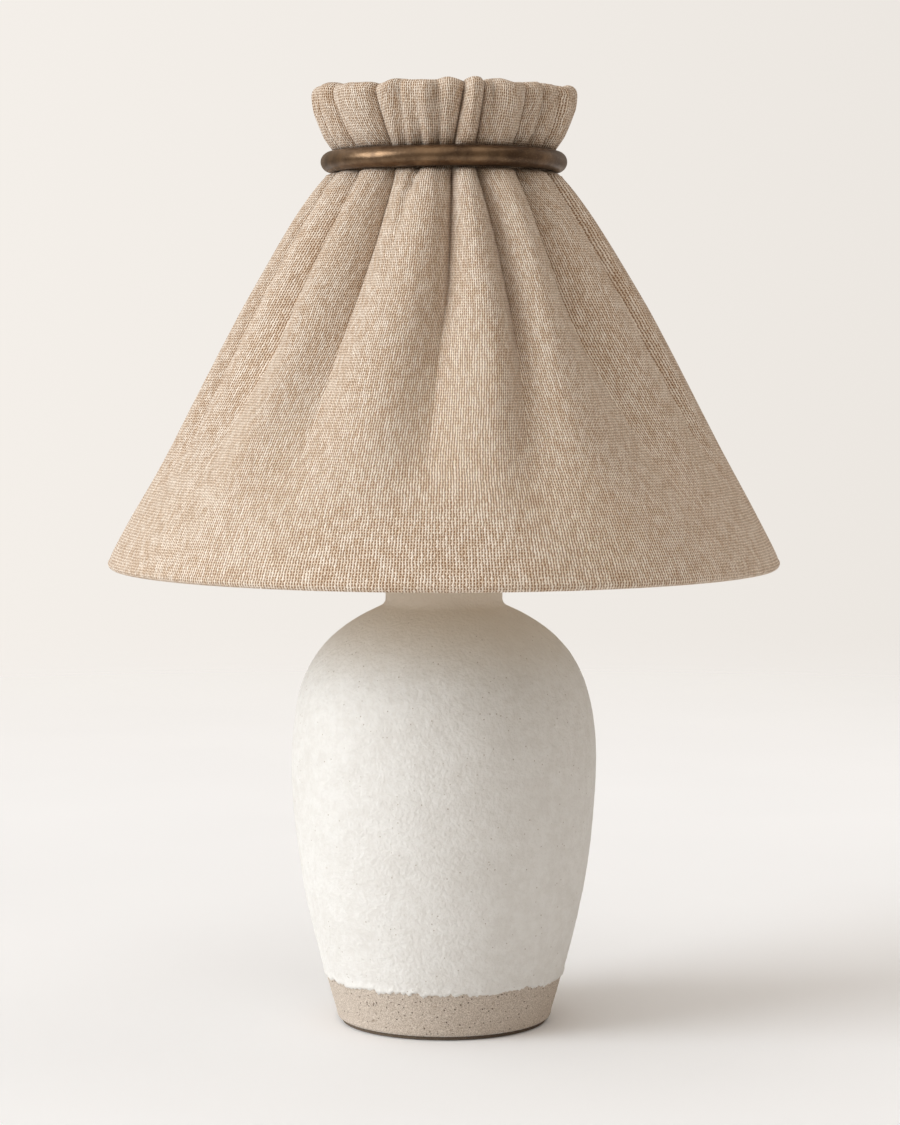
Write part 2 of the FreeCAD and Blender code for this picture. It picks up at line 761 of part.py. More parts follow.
def switch_knob():
    bore = "(switch_shaft + slip_fit / 2)"
    body = turned("switch_knob", [
        (bore, KNOB_START),
        ("knob_radius * 0.8", KNOB_START, "knob_flute"),
        ("knob_radius", f"{KNOB_START} + knob_length / 3", "knob_radius"),
        ("knob_radius", f"{KNOB_START} + knob_length", "knob_flute"),
        ("0", f"{KNOB_START} + knob_length"),
        ("0", f"{KNOB_START} + knob_length / 2 + slip_fit"),
        (bore, f"{KNOB_START} + knob_length / 2 + slip_fit"),
    ])
    sketch = new_sketch(body, "knob_flute_end", "XY_Plane", f"{KNOB_START} + knob_length / 3")
    circle_on(sketch, "knob_radius + knob_flute / 3", "0", "knob_flute")
    flute = body.newObject("PartDesign::Pocket", "knob_flute_cut")
    flute.Profile = sketch
    flute.Type = "ThroughAll"
    flute.Reversed = True
    pattern = body.newObject("PartDesign::PolarPattern", "knob_flute_ring")
    pattern.Originals = [flute]
    pattern.Axis = (sketch, ["N_Axis"])
    pattern.Angle = 360
    bind(pattern, "Occurrences", "knob_flutes")
    body.Tip = pattern
    stand(body, up=SWITCH_LEVEL, axis=(1, 0, 0), degrees=90)


# ---------------------------------------------------------------------------------------------------
# Bulb
# ---------------------------------------------------------------------------------------------------
def bulb_pieces():
    insulator_foot = f"({BULB_FOOT} + bulb_tip_height)"
    bore = "(bulb_cap_radius - bulb_cap_sheet)"
    turned("bulb_contact", [
        ("0", BULB_FOOT),
        ("bulb_tip_radius", BULB_FOOT, "bulb_tip_height / 2"),
        ("bulb_tip_radius", insulator_foot),
        ("0", insulator_foot),
    ])
    turned("bulb_insulator", [
        ("0", insulator_foot),
        ("bulb_tip_radius + bulb_insulator_step", insulator_foot),
        (f"{bore} - bulb_insulator_step", BULB_CAP_FOOT),
        ("0", BULB_CAP_FOOT),
    ])
    turned("bulb_cap", [
        ("0", BULB_CAP_FOOT),
        ("bulb_cap_radius", BULB_CAP_FOOT, "bulb_cap_sheet * 2"),
        ("bulb_cap_radius", BULB_CAP_TOP),
        (bore, BULB_CAP_TOP),
        (bore, f"{BULB_CAP_FOOT} + bulb_cap_sheet", "bulb_cap_sheet"),
        ("0", f"{BULB_CAP_FOOT} + bulb_cap_sheet"),
    ])


def bulb_glass():
    neck = "(bulb_cap_radius - bulb_neck_inset)"
    neck_bore = f"({neck} - bulb_wall)"
    neck_top = f"{BULB_CAP_TOP} + bulb_neck_length"
    inner = "(bulb_radius - bulb_wall)"
    flare_top = f"({BULB_TOP} - bulb_radius - bulb_flare_bend / 2)"
    turned("bulb_glass", [
        (neck_bore, BULB_CAP_TOP),
        (neck, BULB_CAP_TOP),
        (neck, neck_top, "bulb_neck_bend"),
        ("bulb_radius", flare_top, "bulb_flare_bend"),
        ("bulb_radius", BULB_TOP, inner),
        ("0", BULB_TOP),
        ("0", f"{BULB_TOP} - bulb_wall"),
        (inner, f"{BULB_TOP} - bulb_wall", f"{inner} - bulb_wall"),
        (inner, flare_top, "bulb_flare_bend - bulb_wall"),
        (neck_bore, f"{neck_top} + bulb_wall / 2", "bulb_neck_bend"),
    ])


# ---------------------------------------------------------------------------------------------------
# Harp: a sprung wire loop on the saddle's prongs, two ferrules, and the stud that turns in its eye
# ---------------------------------------------------------------------------------------------------
def harp_loop():
    leg_top = f"{PRONG_TOP} + harp_leg_length"
    belly_level = f"{SADDLE_TOP} + harp_belly_height"
    right = [
        ("harp_leg", PRONG_TOP),
        ("harp_leg", leg_top, "harp_bend"),
        ("harp_belly", belly_level, "2 * harp_bend"),
        ("harp_shoulder", HARP_TOP, "harp_bend"),
    ]
    left = [(f"-({corner[0]})", *corner[1:]) for corner in reversed(right)]
    body = bent_wire("harp_loop", right + left, "harp_wire", starts_upright=True)
    eye = new_sketch(body, "harp_eye", "XY_Plane", EYE_FOOT)
    circle_on(eye, "0", "0", "eye_radius")
    pad = body.newObject("PartDesign::Pad", "harp_eye_pad")
    pad.Profile = eye
    bind(pad, "Length", "eye_height")
    hole = new_sketch(body, "harp_eye_hole", "XY_Plane", EYE_FOOT)
    circle_on(hole, "0", "0", "stud_radius")
    pocket = body.newObject("PartDesign::Pocket", "harp_eye_cut")
    pocket.Profile = hole
    pocket.Type = "ThroughAll"
    pocket.Reversed = True


def ferrules():
    bore = "(harp_wire + running_fit)"
    outside = f"({bore} + ferrule_wall)"
    for side, sign in (("left", "-1"), ("right", "1")):
        ferrule = turned(f"ferrule_{side}", [
            (bore, "0"),
            (outside, "0", "ferrule_wall / 3"),
            (outside, "ferrule_length", "ferrule_wall / 2"),
            (bore, "ferrule_length"),
        ])
        stand(ferrule, across=f"{sign} * harp_leg", up=SADDLE_TOP)


def harp_stud():
    turned("harp_stud", [
        ("0", f"{EYE_FOOT} - stud_head_height"),
        ("stud_head", f"{EYE_FOOT} - stud_head_height", "stud_head_height / 2"),
        ("stud_head", EYE_FOOT),
        (STUD_NECK, EYE_FOOT),
        (STUD_NECK, EYE_TOP),
        ("stud_seat", EYE_TOP),
        ("stud_seat", SEAT_TOP, "stud_seat_height / 3"),
        ("stud_radius", SEAT_TOP),
        ("stud_radius", f"{HUB_TOP} + stud_length", "stud_radius / 4"),
        ("0", f"{HUB_TOP} + stud_length"),
    ])


# ---------------------------------------------------------------------------------------------------
# Shade: linen gathered over a stiff lining, on a wire frame, held by a bronze ring
# ---------------------------------------------------------------------------------------------------
def spider_hub():
    hole = "(stud_radius + seat_gap)"
    outline = [(hole, SEAT_TOP), ("hub_radius", SEAT_TOP), ("hub_radius", HUB_TOP), (hole, HUB_TOP)]
    turned("spider_hub", outline)


def spider_arms():
    for count in range(3):
        arm = bent_wire(f"spider_arm_{count + 1}", [
            ("hub_radius - weld_depth", HUB_MIDDLE),
            ("hub_radius + spider_elbow", HUB_MIDDLE, "spider_bend"),
            (f"{TOP_WIRE_RADIUS} - frame_wire + weld_depth", TOP_WIRE_LEVEL),
        ], "spider_wire", starts_upright=False)
        stand(arm, degrees=90 + 120 * count)


def shade_liner():
    turned("shade_liner", [
        (f"{LINER_HEM_RADIUS} - {LINER_ACROSS}", HEM_LEVEL),
        (LINER_HEM_RADIUS, HEM_LEVEL),
        (LINER_TOP_RADIUS, LINER_TOP),
        (f"{LINER_TOP_RADIUS} - {LINER_ACROSS}", LINER_TOP),
    ])


def skirt_poles(inset, last):
    """Control points of the skirt where it puffs out under the ring, moved in by the cloth's depth."""
    places = [
        ("swell_drop", "swell_room"),
        ("puff_low_drop", "puff_low_room"),
        ("puff_high_drop", "puff_high_room"),
    ]
    poles = []
    for drop, room in places:
        level = f"({RING_LEVEL} - {drop})"
        lining = f"({LINER_TOP_RADIUS} + {LINER_SLOPE} * ({LINER_TOP} - {level}))"
        poles.append((f"{lining} + {room} - {inset}", level))
    return poles + [last]


def shade_skirt():
    """The cloth from the hem up to the ring; shade_ruffle carries on above it."""
    body = new_body("shade_skirt")
    outside = new_sketch(body, "skirt_outside", "XZ_Plane")
    poles = skirt_poles("0", ("ring_radius", SHELF_TOP))
    curve = draw_curve(outside, poles)
    close_curve(outside, curve, poles, [
        ("0", SHELF_TOP),
        ("0", HEM_LEVEL),
        ("hem_radius", HEM_LEVEL),
    ])
    spin(body, outside)
    inside = new_sketch(body, "skirt_inside", "XZ_Plane")
    poles = skirt_poles("cloth_depth", (CLOTH_NECK_BORE, SHELF_FOOT))
    curve = draw_curve(inside, poles)
    close_curve(inside, curve, poles, [
        (CLOTH_NECK_BORE, SHELF_TOP),
        ("0", SHELF_TOP),
        ("0", HEM_LEVEL),
        ("hem_radius - cloth_depth", HEM_LEVEL),
    ])
    spin(body, inside, groove=True)


def shade_ruffle():
    turned("shade_ruffle", [
        (CLOTH_NECK_BORE, SHELF_TOP),
        (CLOTH_NECK, SHELF_TOP),
        (CLOTH_NECK, RUFFLE_FOOT),
        ("ring_radius - ruffle_root", f"{RUFFLE_FOOT} + soft_gap"),
        ("ring_radius + ruffle_flare", RUFFLE_TOP, "ruffle_edge"),
        ("ring_radius - ruffle_mouth", RUFFLE_TOP, "ruffle_edge"),
        (CLOTH_NECK_BORE, RUFFLE_FOOT),
    ])


# ---------------------------------------------------------------------------------------------------
# Finial that holds the shade down on the stud
# ---------------------------------------------------------------------------------------------------
def finial():
    bore = "(stud_radius + running_fit)"
    flange_top = f"({HUB_TOP} + bush_flange_height)"
    bush_top = f"({HUB_TOP} + stud_length)"
    turned("finial_bush", [
        (bore, HUB_TOP),
        ("bush_flange", HUB_TOP, "bush_flange_height / 4"),
        ("bush_flange", flange_top, "bush_flange_height / 4"),
        ("bush_radius", flange_top),
        ("bush_radius", bush_top),
        (bore, bush_top),
    ])
    knob_bore = "(bush_radius + running_fit)"
    knob_top = f"({flange_top} + finial_height)"
    turned("finial_knob", [
        (knob_bore, flange_top),
        ("knob_foot", flange_top),
        ("knob_waist", f"{flange_top} + finial_height / 4", "knob_waist / 2"),
        ("finial_radius", f"{flange_top} + finial_height / 2", "finial_radius / 3"),
        ("finial_radius", knob_top, "finial_radius * 0.8"),
        ("0", knob_top),
        ("0", f"{bush_top} + stud_radius"),
        (knob_bore, f"{bush_top} + seat_gap"),
    ])


# ---------------------------------------------------------------------------------------------------
# Build, check and export
# ---------------------------------------------------------------------------------------------------
def build_lamp():
    felt_pad()
    ceramic_body()
    cord_grommet()
    flat_washer("rubber_washer", "rubber_washer_radius", RUBBER_FOOT, "rubber_washer_height")
    flat_washer("base_washer", "steel_washer_radius", STEEL_FOOT, "steel_washer_height")
    lock_washer()
    base_nut()
    lamp_pipe()
    vase_cap()
    neck_spacer()
    harp_saddle()
    socket_cap()
    socket_shell()
    socket_sleeve()
    socket_block()
    terminal_screws()
    screw_shell()
    centre_contact()
    switch_shaft()
    switch_knob()
    bulb_pieces()
    bulb_glass()
    harp_loop()
    ferrules()
    harp_stud()
    spider_hub()
    spider_arms()
    wire_ring("top_wire", TOP_WIRE_RADIUS, "frame_wire", TOP_WIRE_LEVEL)
    wire_ring("hem_wire", HEM_WIRE_RADIUS, "frame_wire", HEM_WIRE_LEVEL)
    shade_liner()
    shade_skirt()
    shade_ruffle()
    wire_ring("gather_ring", "ring_radius", "ring_tube", RING_LEVEL)
    finial()
    doc.recompute()


def check_lamp():
    """Stop if any object failed to rebuild or any sub-part isn't one sound shape."""
    for item in doc.Objects:
        if "Invalid" in item.State or "Error" in item.State:
            raise RuntimeError(f"{item.Label} didn't rebuild: {item.State}")
    for item in PARTS:
        if item.Shape.isNull() or not item.Shape.isValid():
            raise RuntimeError(f"{item.Label} has no sound shape")


def export_lamp():
    os.makedirs("parts", exist_ok=True)
    for item in PARTS:
        item.Shape.exportStep(f"parts/{item.Label}.step")
        print(f"{item.Label:20s} {item.Shape.Volume / 1000:10.2f} cm3")


build_lamp()
check_lamp()
export_lamp()
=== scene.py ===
# %% [markdown]
# # Table lamp with shade: the look of each piece
#
# A glazed stoneware jar carries a lampholder, a bulb and a wire harp, and on the harp hangs a linen shade
# that a bronze ring gathers at its neck. The measured parts are loaded as a fixed frame. The pieces that
# need more shape than a lathe outline, which are the linen, the jar's skin and the ring, are made here.

# %% Frame
import bpy
import json
import math
import numpy as np
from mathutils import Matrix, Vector, noise


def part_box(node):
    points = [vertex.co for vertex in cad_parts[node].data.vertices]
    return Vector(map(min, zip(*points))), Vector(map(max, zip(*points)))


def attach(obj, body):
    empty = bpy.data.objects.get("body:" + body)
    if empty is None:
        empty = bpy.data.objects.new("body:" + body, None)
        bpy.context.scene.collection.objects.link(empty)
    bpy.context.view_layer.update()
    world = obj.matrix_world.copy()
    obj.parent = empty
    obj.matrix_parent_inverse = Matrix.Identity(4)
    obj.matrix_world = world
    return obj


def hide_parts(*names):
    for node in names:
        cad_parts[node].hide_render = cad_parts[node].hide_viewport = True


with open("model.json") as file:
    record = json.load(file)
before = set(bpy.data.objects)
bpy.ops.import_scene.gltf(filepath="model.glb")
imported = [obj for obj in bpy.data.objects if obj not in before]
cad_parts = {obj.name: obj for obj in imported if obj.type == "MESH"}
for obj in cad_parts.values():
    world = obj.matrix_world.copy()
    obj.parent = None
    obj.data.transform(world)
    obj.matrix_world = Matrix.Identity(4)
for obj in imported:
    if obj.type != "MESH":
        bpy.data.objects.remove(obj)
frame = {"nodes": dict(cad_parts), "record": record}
bpy.context.view_layer.update()
NODES = frame["nodes"]
MM = 0.001  # lengths below are in mm, and the scene is in metres
rng = np.random.default_rng(7)

# %% [markdown]
# ## Small tools
#
# A finish is a node material. `Finish` adds nodes in short lines: numbers go straight into a socket, and
# sockets are linked. Every colour below is linear, as light adds up.

# %% Finish tools
def linear(red, green, blue):
    """A display colour from 0 to 255 as linear light."""
    parts = [value / 255 for value in (red, green, blue)]
    parts = [v / 12.92 if v <= 0.04045 else ((v + 0.055) / 1.055) ** 2.4 for v in parts]
    return (*parts, 1.0)


class Finish:
    """A procedural material, built node by node."""

    def __init__(self, name):
        self.material = bpy.data.materials.new(name)
        self.material.use_nodes = True
        self.tree = self.material.node_tree
        self.tree.nodes.clear()
        self.output = self.tree.nodes.new("ShaderNodeOutputMaterial")

    def node(self, kind, settings=None, **inputs):
        """Adds a node: settings are its options, and inputs are numbers or other nodes' sockets."""
        made = self.tree.nodes.new(kind)
        for name, value in (settings or {}).items():
            setattr(made, name, value)
        for name, value in inputs.items():
            self.feed(made.inputs[name.replace("_", " ")], value)
        return made

    def feed(self, socket, value):
        """Links a socket to another one, or sets it to a plain value."""
        if isinstance(value, bpy.types.NodeSocket):
            self.tree.links.new(value, socket)
        else:
            socket.default_value = value

    def math(self, operation, *values, clamp=False):
        made = self.node("ShaderNodeMath", {"operation": operation, "use_clamp": clamp})
        for index, value in enumerate(values):
            self.feed(made.inputs[index], value)
        return made.outputs[0]

    def add(self, a, b):
        return self.math("ADD", a, b)

    def times(self, a, b):
        return self.math("MULTIPLY", a, b)

    def ramp(self, value, low, high, to_low=0.0, to_high=1.0):
        """A smooth step of a value between two levels."""
        made = self.node("ShaderNodeMapRange", {"interpolation_type": "SMOOTHSTEP"})
        for index, item in enumerate((value, low, high, to_low, to_high)):
            self.feed(made.inputs[index], item)
        return made.outputs[0]

    def mix(self, share, a, b):
        """Colour a where the share is 0, and colour b where it is 1."""
        made = self.node("ShaderNodeMix", {"data_type": "RGBA"})
        for index, item in ((0, share), (6, a), (7, b)):
            self.feed(made.inputs[index], item)
        return made.outputs[2]

    def scaled(self, vector, scale):
        made = self.node("ShaderNodeMapping")
        self.feed(made.inputs["Vector"], vector)
        self.feed(made.inputs["Scale"], scale)
        return made.outputs[0]

    def noise(self, vector, scale, detail=2.0, roughness=0.5, **settings):
        made = self.node("ShaderNodeTexNoise", settings)
        self.feed(made.inputs["Vector"], vector)
        self.feed(made.inputs["Scale"], scale)
        self.feed(made.inputs["Detail"], detail)
        self.feed(made.inputs["Roughness"], roughness)
        return made.outputs[0]

    def spots(self, vector, scale, **settings):
        """How far a point is from the nearest of many scattered ones."""
        made = self.node("ShaderNodeTexVoronoi", settings)
        self.feed(made.inputs["Vector"], vector)
        self.feed(made.inputs["Scale"], scale)
        return made.outputs["Distance"]

    def place(self):
        """Where a point is on the piece at rest, in metres."""
        return self.node("ShaderNodeTexCoord").outputs["Object"]

    def bump(self, height, distance, strength=1.0):
        made = self.node("ShaderNodeBump", Strength=strength, Distance=distance)
        self.feed(made.inputs["Height"], height)
        return made.outputs[0]

    def surface(self, **inputs):
        shader = self.node("ShaderNodeBsdfPrincipled", None, **inputs)
        self.tree.links.new(shader.outputs[0], self.output.inputs["Surface"])
        return self.material


print("a middle grey as linear light:", round(linear(128, 128, 128)[0], 3))

# %% [markdown]
# ## Putting a finish on
#
# A piece wears one finish. Its faces are shaded smooth, because thrown clay, cloth and drawn metal have no
# flats; true edges come from rows of points that lie close together.

# %% Finish on a piece
def give(material, *objects):
    for item in objects:
        item.data.materials.clear()
        item.data.materials.append(material)


def soften(item):
    item.data.polygons.foreach_set("use_smooth", np.ones(len(item.data.polygons), bool))
    item.data.update()


print("tools ready:", give.__name__, "and", soften.__name__)

# %% [markdown]
# ## A grid of points as a mesh
#
# The linen, the jar and the ring are all rows of points that go round the lamp's axis. `wrap` turns such a
# grid into a mesh, with four-sided faces only.

# %% Grid mesh
def wrap(name, points, body, slot, closed_rows=False):
    """A mesh from points[row, column]; the columns close round the axis, and the rows too if asked."""
    rows, columns = points.shape[:2]
    index = np.arange(rows * columns).reshape(rows, columns)
    below, above = (index, np.roll(index, -1, 0)) if closed_rows else (index[:-1], index[1:])
    corners = [below, np.roll(below, -1, 1), np.roll(above, -1, 1), above]
    faces = np.stack(corners, -1).reshape(-1, 4)
    mesh = bpy.data.meshes.new(name)
    mesh.from_pydata((points.reshape(-1, 3) * MM).tolist(), [], faces.tolist())
    mesh.update()
    item = bpy.data.objects.new(name, mesh)
    bpy.context.scene.collection.objects.link(item)
    soften(item)
    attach(item, body)
    print(name, rows, "x", columns, "points")
    return item


print("wrap gives:", wrap.__doc__)

# %% [markdown]
# ## Values that change with height
#
# Creases and outlines are written down at a few heights only, as a maker would mark them on the lining.
# Between the marks a value runs straight, and `smoothed` eases it round each mark, as cloth would lie.

# %% Easing between marks
def smoothed(levels, stations, values, spread):
    """A value at each level, eased over the corners between its stations."""
    fine = np.arange(min(levels) - 60, max(levels) + 60, 1.0)
    stepped = np.interp(fine, stations, values)
    kernel = np.exp(-0.5 * (np.arange(-40, 41) / spread) ** 2)
    padded = np.pad(stepped, 40, mode="edge")
    return np.interp(levels, fine, np.convolve(padded, kernel / kernel.sum(), "valid"))


print("a step from 0 to 1, eased, at its middle:", smoothed([0.0], [-1, 1], [0, 1], 3.0).round(2))

# %% [markdown]
# ## How the linen is folded
#
# The real shade is a tube of linen, slipped over a stiff lining and pulled in by the ring, so that it falls
# in soft folds that start as sharp creases under the ring and have died out near the hem. Each crease below
# says where it lies at nine heights, in degrees round from the front, and how deep it is there, as a share.
# The heights are those of the hem, five up the skirt, the two sides of the ring, and the top of the ruffle.

# %% Creases in front
HEIGHTS = [275, 345, 409, 432, 468, 492, 507, 520, 556]
FRONT_CREASES = [
    ([-54, -54, -50.5, -51.5, -50, -48, -50, -56, -61], [0, 0.6, 0.8, 0.9, 1, 1, 1, 1, 1]),
    ([-30, -30, -29.5, -28.5, -27.5, -27.5, -28, -30, -34], [0, 1, 1, 1, 1, 1, 1, 1, 1]),
    ([-3, -3, -1, 1.2, 2.7, 3.8, 4.5, 5.5, 10], [0, 1, 1, 1, 1, 1, 1, 1, 1]),
    ([18, 18, 20.5, 21, 21, 20, 18, 17.5, 19], [0, 1, 1, 1, 1, 1, 1, 1, 1]),
    ([50, 47.5, 41.5, 41, 41.5, 42, 43, 41, 40], [0, 1, 1, 1, 1, 1, 1, 1, 0.8]),
    ([70, 70, 68, 68, 66, 63.5, 67, 65.5, 64], [0, 0.7, 0.9, 0.9, 1, 1, 1, 1, 1]),
    ([79, 79, 80, 80, 80, 81, 82, 80, 79], [0, 0.8, 0.9, 0.9, 0.9, 0.9, 0.9, 0.9, 0.9]),
]
# where each fold's crest lies between its two creases: low on the skirt, and near the ring
FRONT_CRESTS = [(0.45, 0.4), (0.53, 0.6), (0.6, 0.45), (0.35, 0.45), (0.7, 0.6), (0.5, 0.5), (0.5, 0.5)]
print("creases in front:", len(FRONT_CREASES))

# %% [markdown]
# ## Short creases
#
# Some creases are only pinched in by the ring: they show in the ruffle, or just under the ring, and are gone
# a hand's breadth down. They are cut into the folds afterwards, so they don't share out the cloth.

# %% Short creases
# azimuths in degrees, and depths in mm, at the nine heights
SHORT_CREASES = [
    ([-18, -18, -18, -18, -17.5, -16, -13.5, -12.5, -13.5], [0, 0, 0, 0.6, 3, 6, 9, 8, 5]),
    ([-20.5, -20.5, -20.5, -20.5, -20.5, -20.5, -20.5, -20.5, -21], [0, 0, 0, 0, 0, 0, 0, 6, 7]),
    ([-3, -3, -3, -3, -3, -3, -3, -3.5, -2.5], [0, 0, 0, 0, 0, 0, 3, 6, 9]),
    ([52, 52, 52, 52, 52, 52, 52, 52, 52], [0, 0, 0, 0, 0, 0, 0, 10, 10]),
    ([24, 24, 24, 24, 24, 24, 24, 24, 23], [0, 0, 0, 0, 0, 0, 0, 0, 6]),
]
SHORT_CREASE_WIDTH = 2.1  # degrees from its bottom to where it has lost most of its depth
print("short creases:", len(SHORT_CREASES))

# %% [markdown]
# ## Creases behind
#
# Round the back the folds go on at about the same spacing. A hand never gathers evenly, so each one is moved
# a little at random, with a fixed seed so that the shade comes out the same each time.

# %% Creases behind
BACK_CREASES = 13
BACK_LOW = (79, 306)   # the back runs from the last crease in front to the first one, in degrees, at the hem
BACK_HIGH = (80, 303)  # and near the ring
DRIFT = [0, 0, 0.15, 0.3, 0.6, 0.85, 1, 1, 1.3]  # how a crease moves over from one to the other


def all_creases():
    """Every crease in turn round the shade: azimuths, depths, and its fold's crest low and high."""
    creases = [(lie, depth, *crest) for (lie, depth), crest in zip(FRONT_CREASES, FRONT_CRESTS)]
    for count in range(1, BACK_CREASES + 1):
        share = count / (BACK_CREASES + 1)
        low = BACK_LOW[0] + (BACK_LOW[1] - BACK_LOW[0]) * share + rng.uniform(-2.5, 2.5)
        high = BACK_HIGH[0] + (BACK_HIGH[1] - BACK_HIGH[0]) * share + rng.uniform(-2.5, 2.5)
        depth = rng.uniform(0.75, 1.0)
        lie = [low + (high - low) * step for step in DRIFT]
        creases.append((lie, [0] + [depth] * 8, rng.uniform(0.38, 0.62), rng.uniform(0.4, 0.6)))
    return creases


CREASES = all_creases()
print("creases round the shade:", len(CREASES))

# %% [markdown]
# ## The linen's outline
#
# One line from the inside of the hem, out over its rolled edge, up the skirt, in under the ring, out again
# into the ruffle, over its folded top, and down inside to the frame. It is kept twice: the crest line is
# where a fold stands out furthest, and the floor line where a crease lies deepest. Between them the lining
# sets the limit: it stands inside the linen, and no crease can go through it.

# %% Measures from the frame
RING_LEVEL = (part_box("gather_ring")[0].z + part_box("gather_ring")[1].z) / 2 / MM
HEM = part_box("shade_liner")[0].z / MM
HEM_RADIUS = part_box("shade_skirt")[1].x / MM
LINER_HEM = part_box("shade_liner")[1].x / MM
LINER_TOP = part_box("shade_liner")[1].z / MM
LINER_NECK = 56.7
LINER_ROOM = 0.5  # the least room between a crease and the lining


def lining_radius(level):
    """How far out the lining's cone stands at a level."""
    slope = (LINER_HEM - LINER_NECK) / (LINER_TOP - HEM)
    return LINER_NECK + slope * (LINER_TOP - np.minimum(level, LINER_TOP))


print("lining at the ring, half way and at the hem:", lining_radius(np.array([LINER_TOP, 400, HEM])).round(1))

# %% [markdown]
# ## Hem and skirt
#
# The linen is turned in over the hem wire, glued inside, and rolled round the edge. From there the skirt goes
# up in a shallow hollow curve. The creases start at nothing above the hem and are deepest near the ring.

# %% Hem and skirt
SIDE_LEVELS = [278.5, 288, 316.7, 345.4, 374, 402.7, 426.6, 445.7, 464.8, 479.1, 488.6, 493.4, 498.2, 503,
               506.2]
SIDE_RADII = [199.7, 194.9, 179.7, 164.2, 149.3, 134.3, 121.5, 110.4, 99.1, 90.1, 83.6, 80, 76.5, 72.2, 68.2]
DEPTH_LEVELS = [278, 292, 306, 320, 340, 360, 380, 403, 432, 468, 492, 503, 507]
DEPTHS = [0, 0.3, 1.3, 3.6, 7.5, 10.4, 12.8, 15.2, 17, 17.3, 16, 13.8, 9.5]


def arc(centre, radius, start, end, count):
    """Points of an arc in the (radius, height) plane; degrees, counted from outwards towards up."""
    turn = np.radians(np.linspace(start, end, count))
    return np.stack([centre[0] + radius * np.cos(turn), centre[1] + radius * np.sin(turn)], 1)


def hem_rows():
    turned_in = [(185, 291), (186.3, 286), (187.4, 281.5), (187.8, 277.6), (188.6, 274.8), (190.2, 273.8)]
    under = np.stack([np.linspace(192.5, 196.6, 3), np.full(3, 273.7)], 1)
    edge = arc((196.7, 277.0), 3.3, -84, 10, 7)
    return np.concatenate([np.array(turned_in), under, edge])


def skirt_rows():
    """The skirt's crest line and floor line; rows lie closer together near the ring."""
    levels = np.concatenate([np.arange(279.5, 486, 2.9), np.arange(487.5, 506.4, 2.0)])
    radii = smoothed(levels, SIDE_LEVELS, SIDE_RADII, 3.0)
    depth = np.interp(levels, DEPTH_LEVELS, DEPTHS)
    deepest = np.maximum(radii - depth, lining_radius(levels) + LINER_ROOM)
    return np.stack([radii, levels], 1), np.stack([deepest, levels], 1)


HEM_LINE = hem_rows()
SKIRT_CREST, SKIRT_FLOOR = skirt_rows()
print("rows in the hem:", len(HEM_LINE), "and in the skirt:", len(SKIRT_CREST))

# %% [markdown]
# ## Cuff and ruffle
#
# The ring pulls the linen in to a tight cuff. Above it the spare cloth springs out again as a ruffle, barrel
# shaped because the fold at its top is stiffer than the cloth below. It is doubled over there and goes back
# down inside, to be held by the frame.

# %% Cuff and ruffle
RING_RADIUS = 67
NECK = 60.3
CUFF_ROWS = 17
RUFFLE_FOOT = 520.6
RUFFLE_LEVELS = [RUFFLE_FOOT, 524, 528, 532, 536, 540, 544, 548, 551.6]
RUFFLE_RADII = [66.2, 68.6, 71.4, 73.2, 74.9, 76.4, 77.9, 78.6, 78.8]


def cuff_rows():
    cuff = arc((RING_RADIUS, RING_LEVEL), RING_RADIUS - NECK, 262, 98, CUFF_ROWS)
    drop = np.interp(np.linspace(0, 1, CUFF_ROWS), [0, 0.1, 0.5, 0.9, 1], [8.6, 7.2, 2.8, 6.6, 7.6])
    return cuff, np.stack([cuff[:, 0] - drop, cuff[:, 1]], 1)


def ruffle_rows():
    rise = np.linspace(0, 1, 17)[1:]
    levels = RUFFLE_FOOT + 31.0 * rise
    crest = np.stack([np.interp(levels, RUFFLE_LEVELS, RUFFLE_RADII), levels], 1)
    return crest, np.stack([58.4 + 10.0 * rise, RUFFLE_FOOT + 29.6 * rise], 1)


def lip_rows():
    lip = arc((73.1, 552.6), 5.7, 4, 150, 9)
    return lip, lip - [9.4, 2.2]


def inside_rows():
    fall = np.linspace(0, 1, 20)[1:]
    crest = np.stack([68.0 - 11.1 * fall ** 0.75, 554.4 - 49.2 * fall], 1)
    return crest, np.stack([59.6 - 4.4 * fall ** 0.75, 551.4 - 46.4 * fall], 1)


UPPER = [cuff_rows(), ruffle_rows(), lip_rows(), inside_rows()]
print("rows in the cuff, the ruffle, its lip and its inside:", [len(crest) for crest, _ in UPPER])

# %% [markdown]
# ## The whole line
#
# Joined up, the rows make one cloth. `SHARPNESS` says how a fold rises from its crease in each row: 2 is a
# slow wave, as near the hem, and less than 1 is a round fold with a sharp crease, as at the ring.

# %% The whole line
SHARP_LEVELS = [275, 320, 345, 380, 403, 432, 468, 500, 530]
SHARP_POWERS = [2.0, 1.9, 1.6, 1.25, 1.0, 0.85, 0.75, 0.62, 0.4]

CREST = np.concatenate([HEM_LINE, SKIRT_CREST] + [crest for crest, _ in UPPER])
FLOOR = np.concatenate([HEM_LINE, SKIRT_FLOOR] + [floor for _, floor in UPPER])
SHARPNESS = np.interp(CREST[:, 1], SHARP_LEVELS, SHARP_POWERS)
print("rows of linen:", len(CREST))

# %% [markdown]
# ## Folding
#
# Between two creases the cloth rises to a crest and falls again. The crest need not lie half way: gathered
# folds lean over. Each fold has the same number of columns, crowded towards its creases, where the cloth
# turns most.

# %% Folding the linen
STEPS = 30               # columns in one fold
CREST_LEVELS = [400, 480]  # below and above these a fold's crest keeps its low or its high place


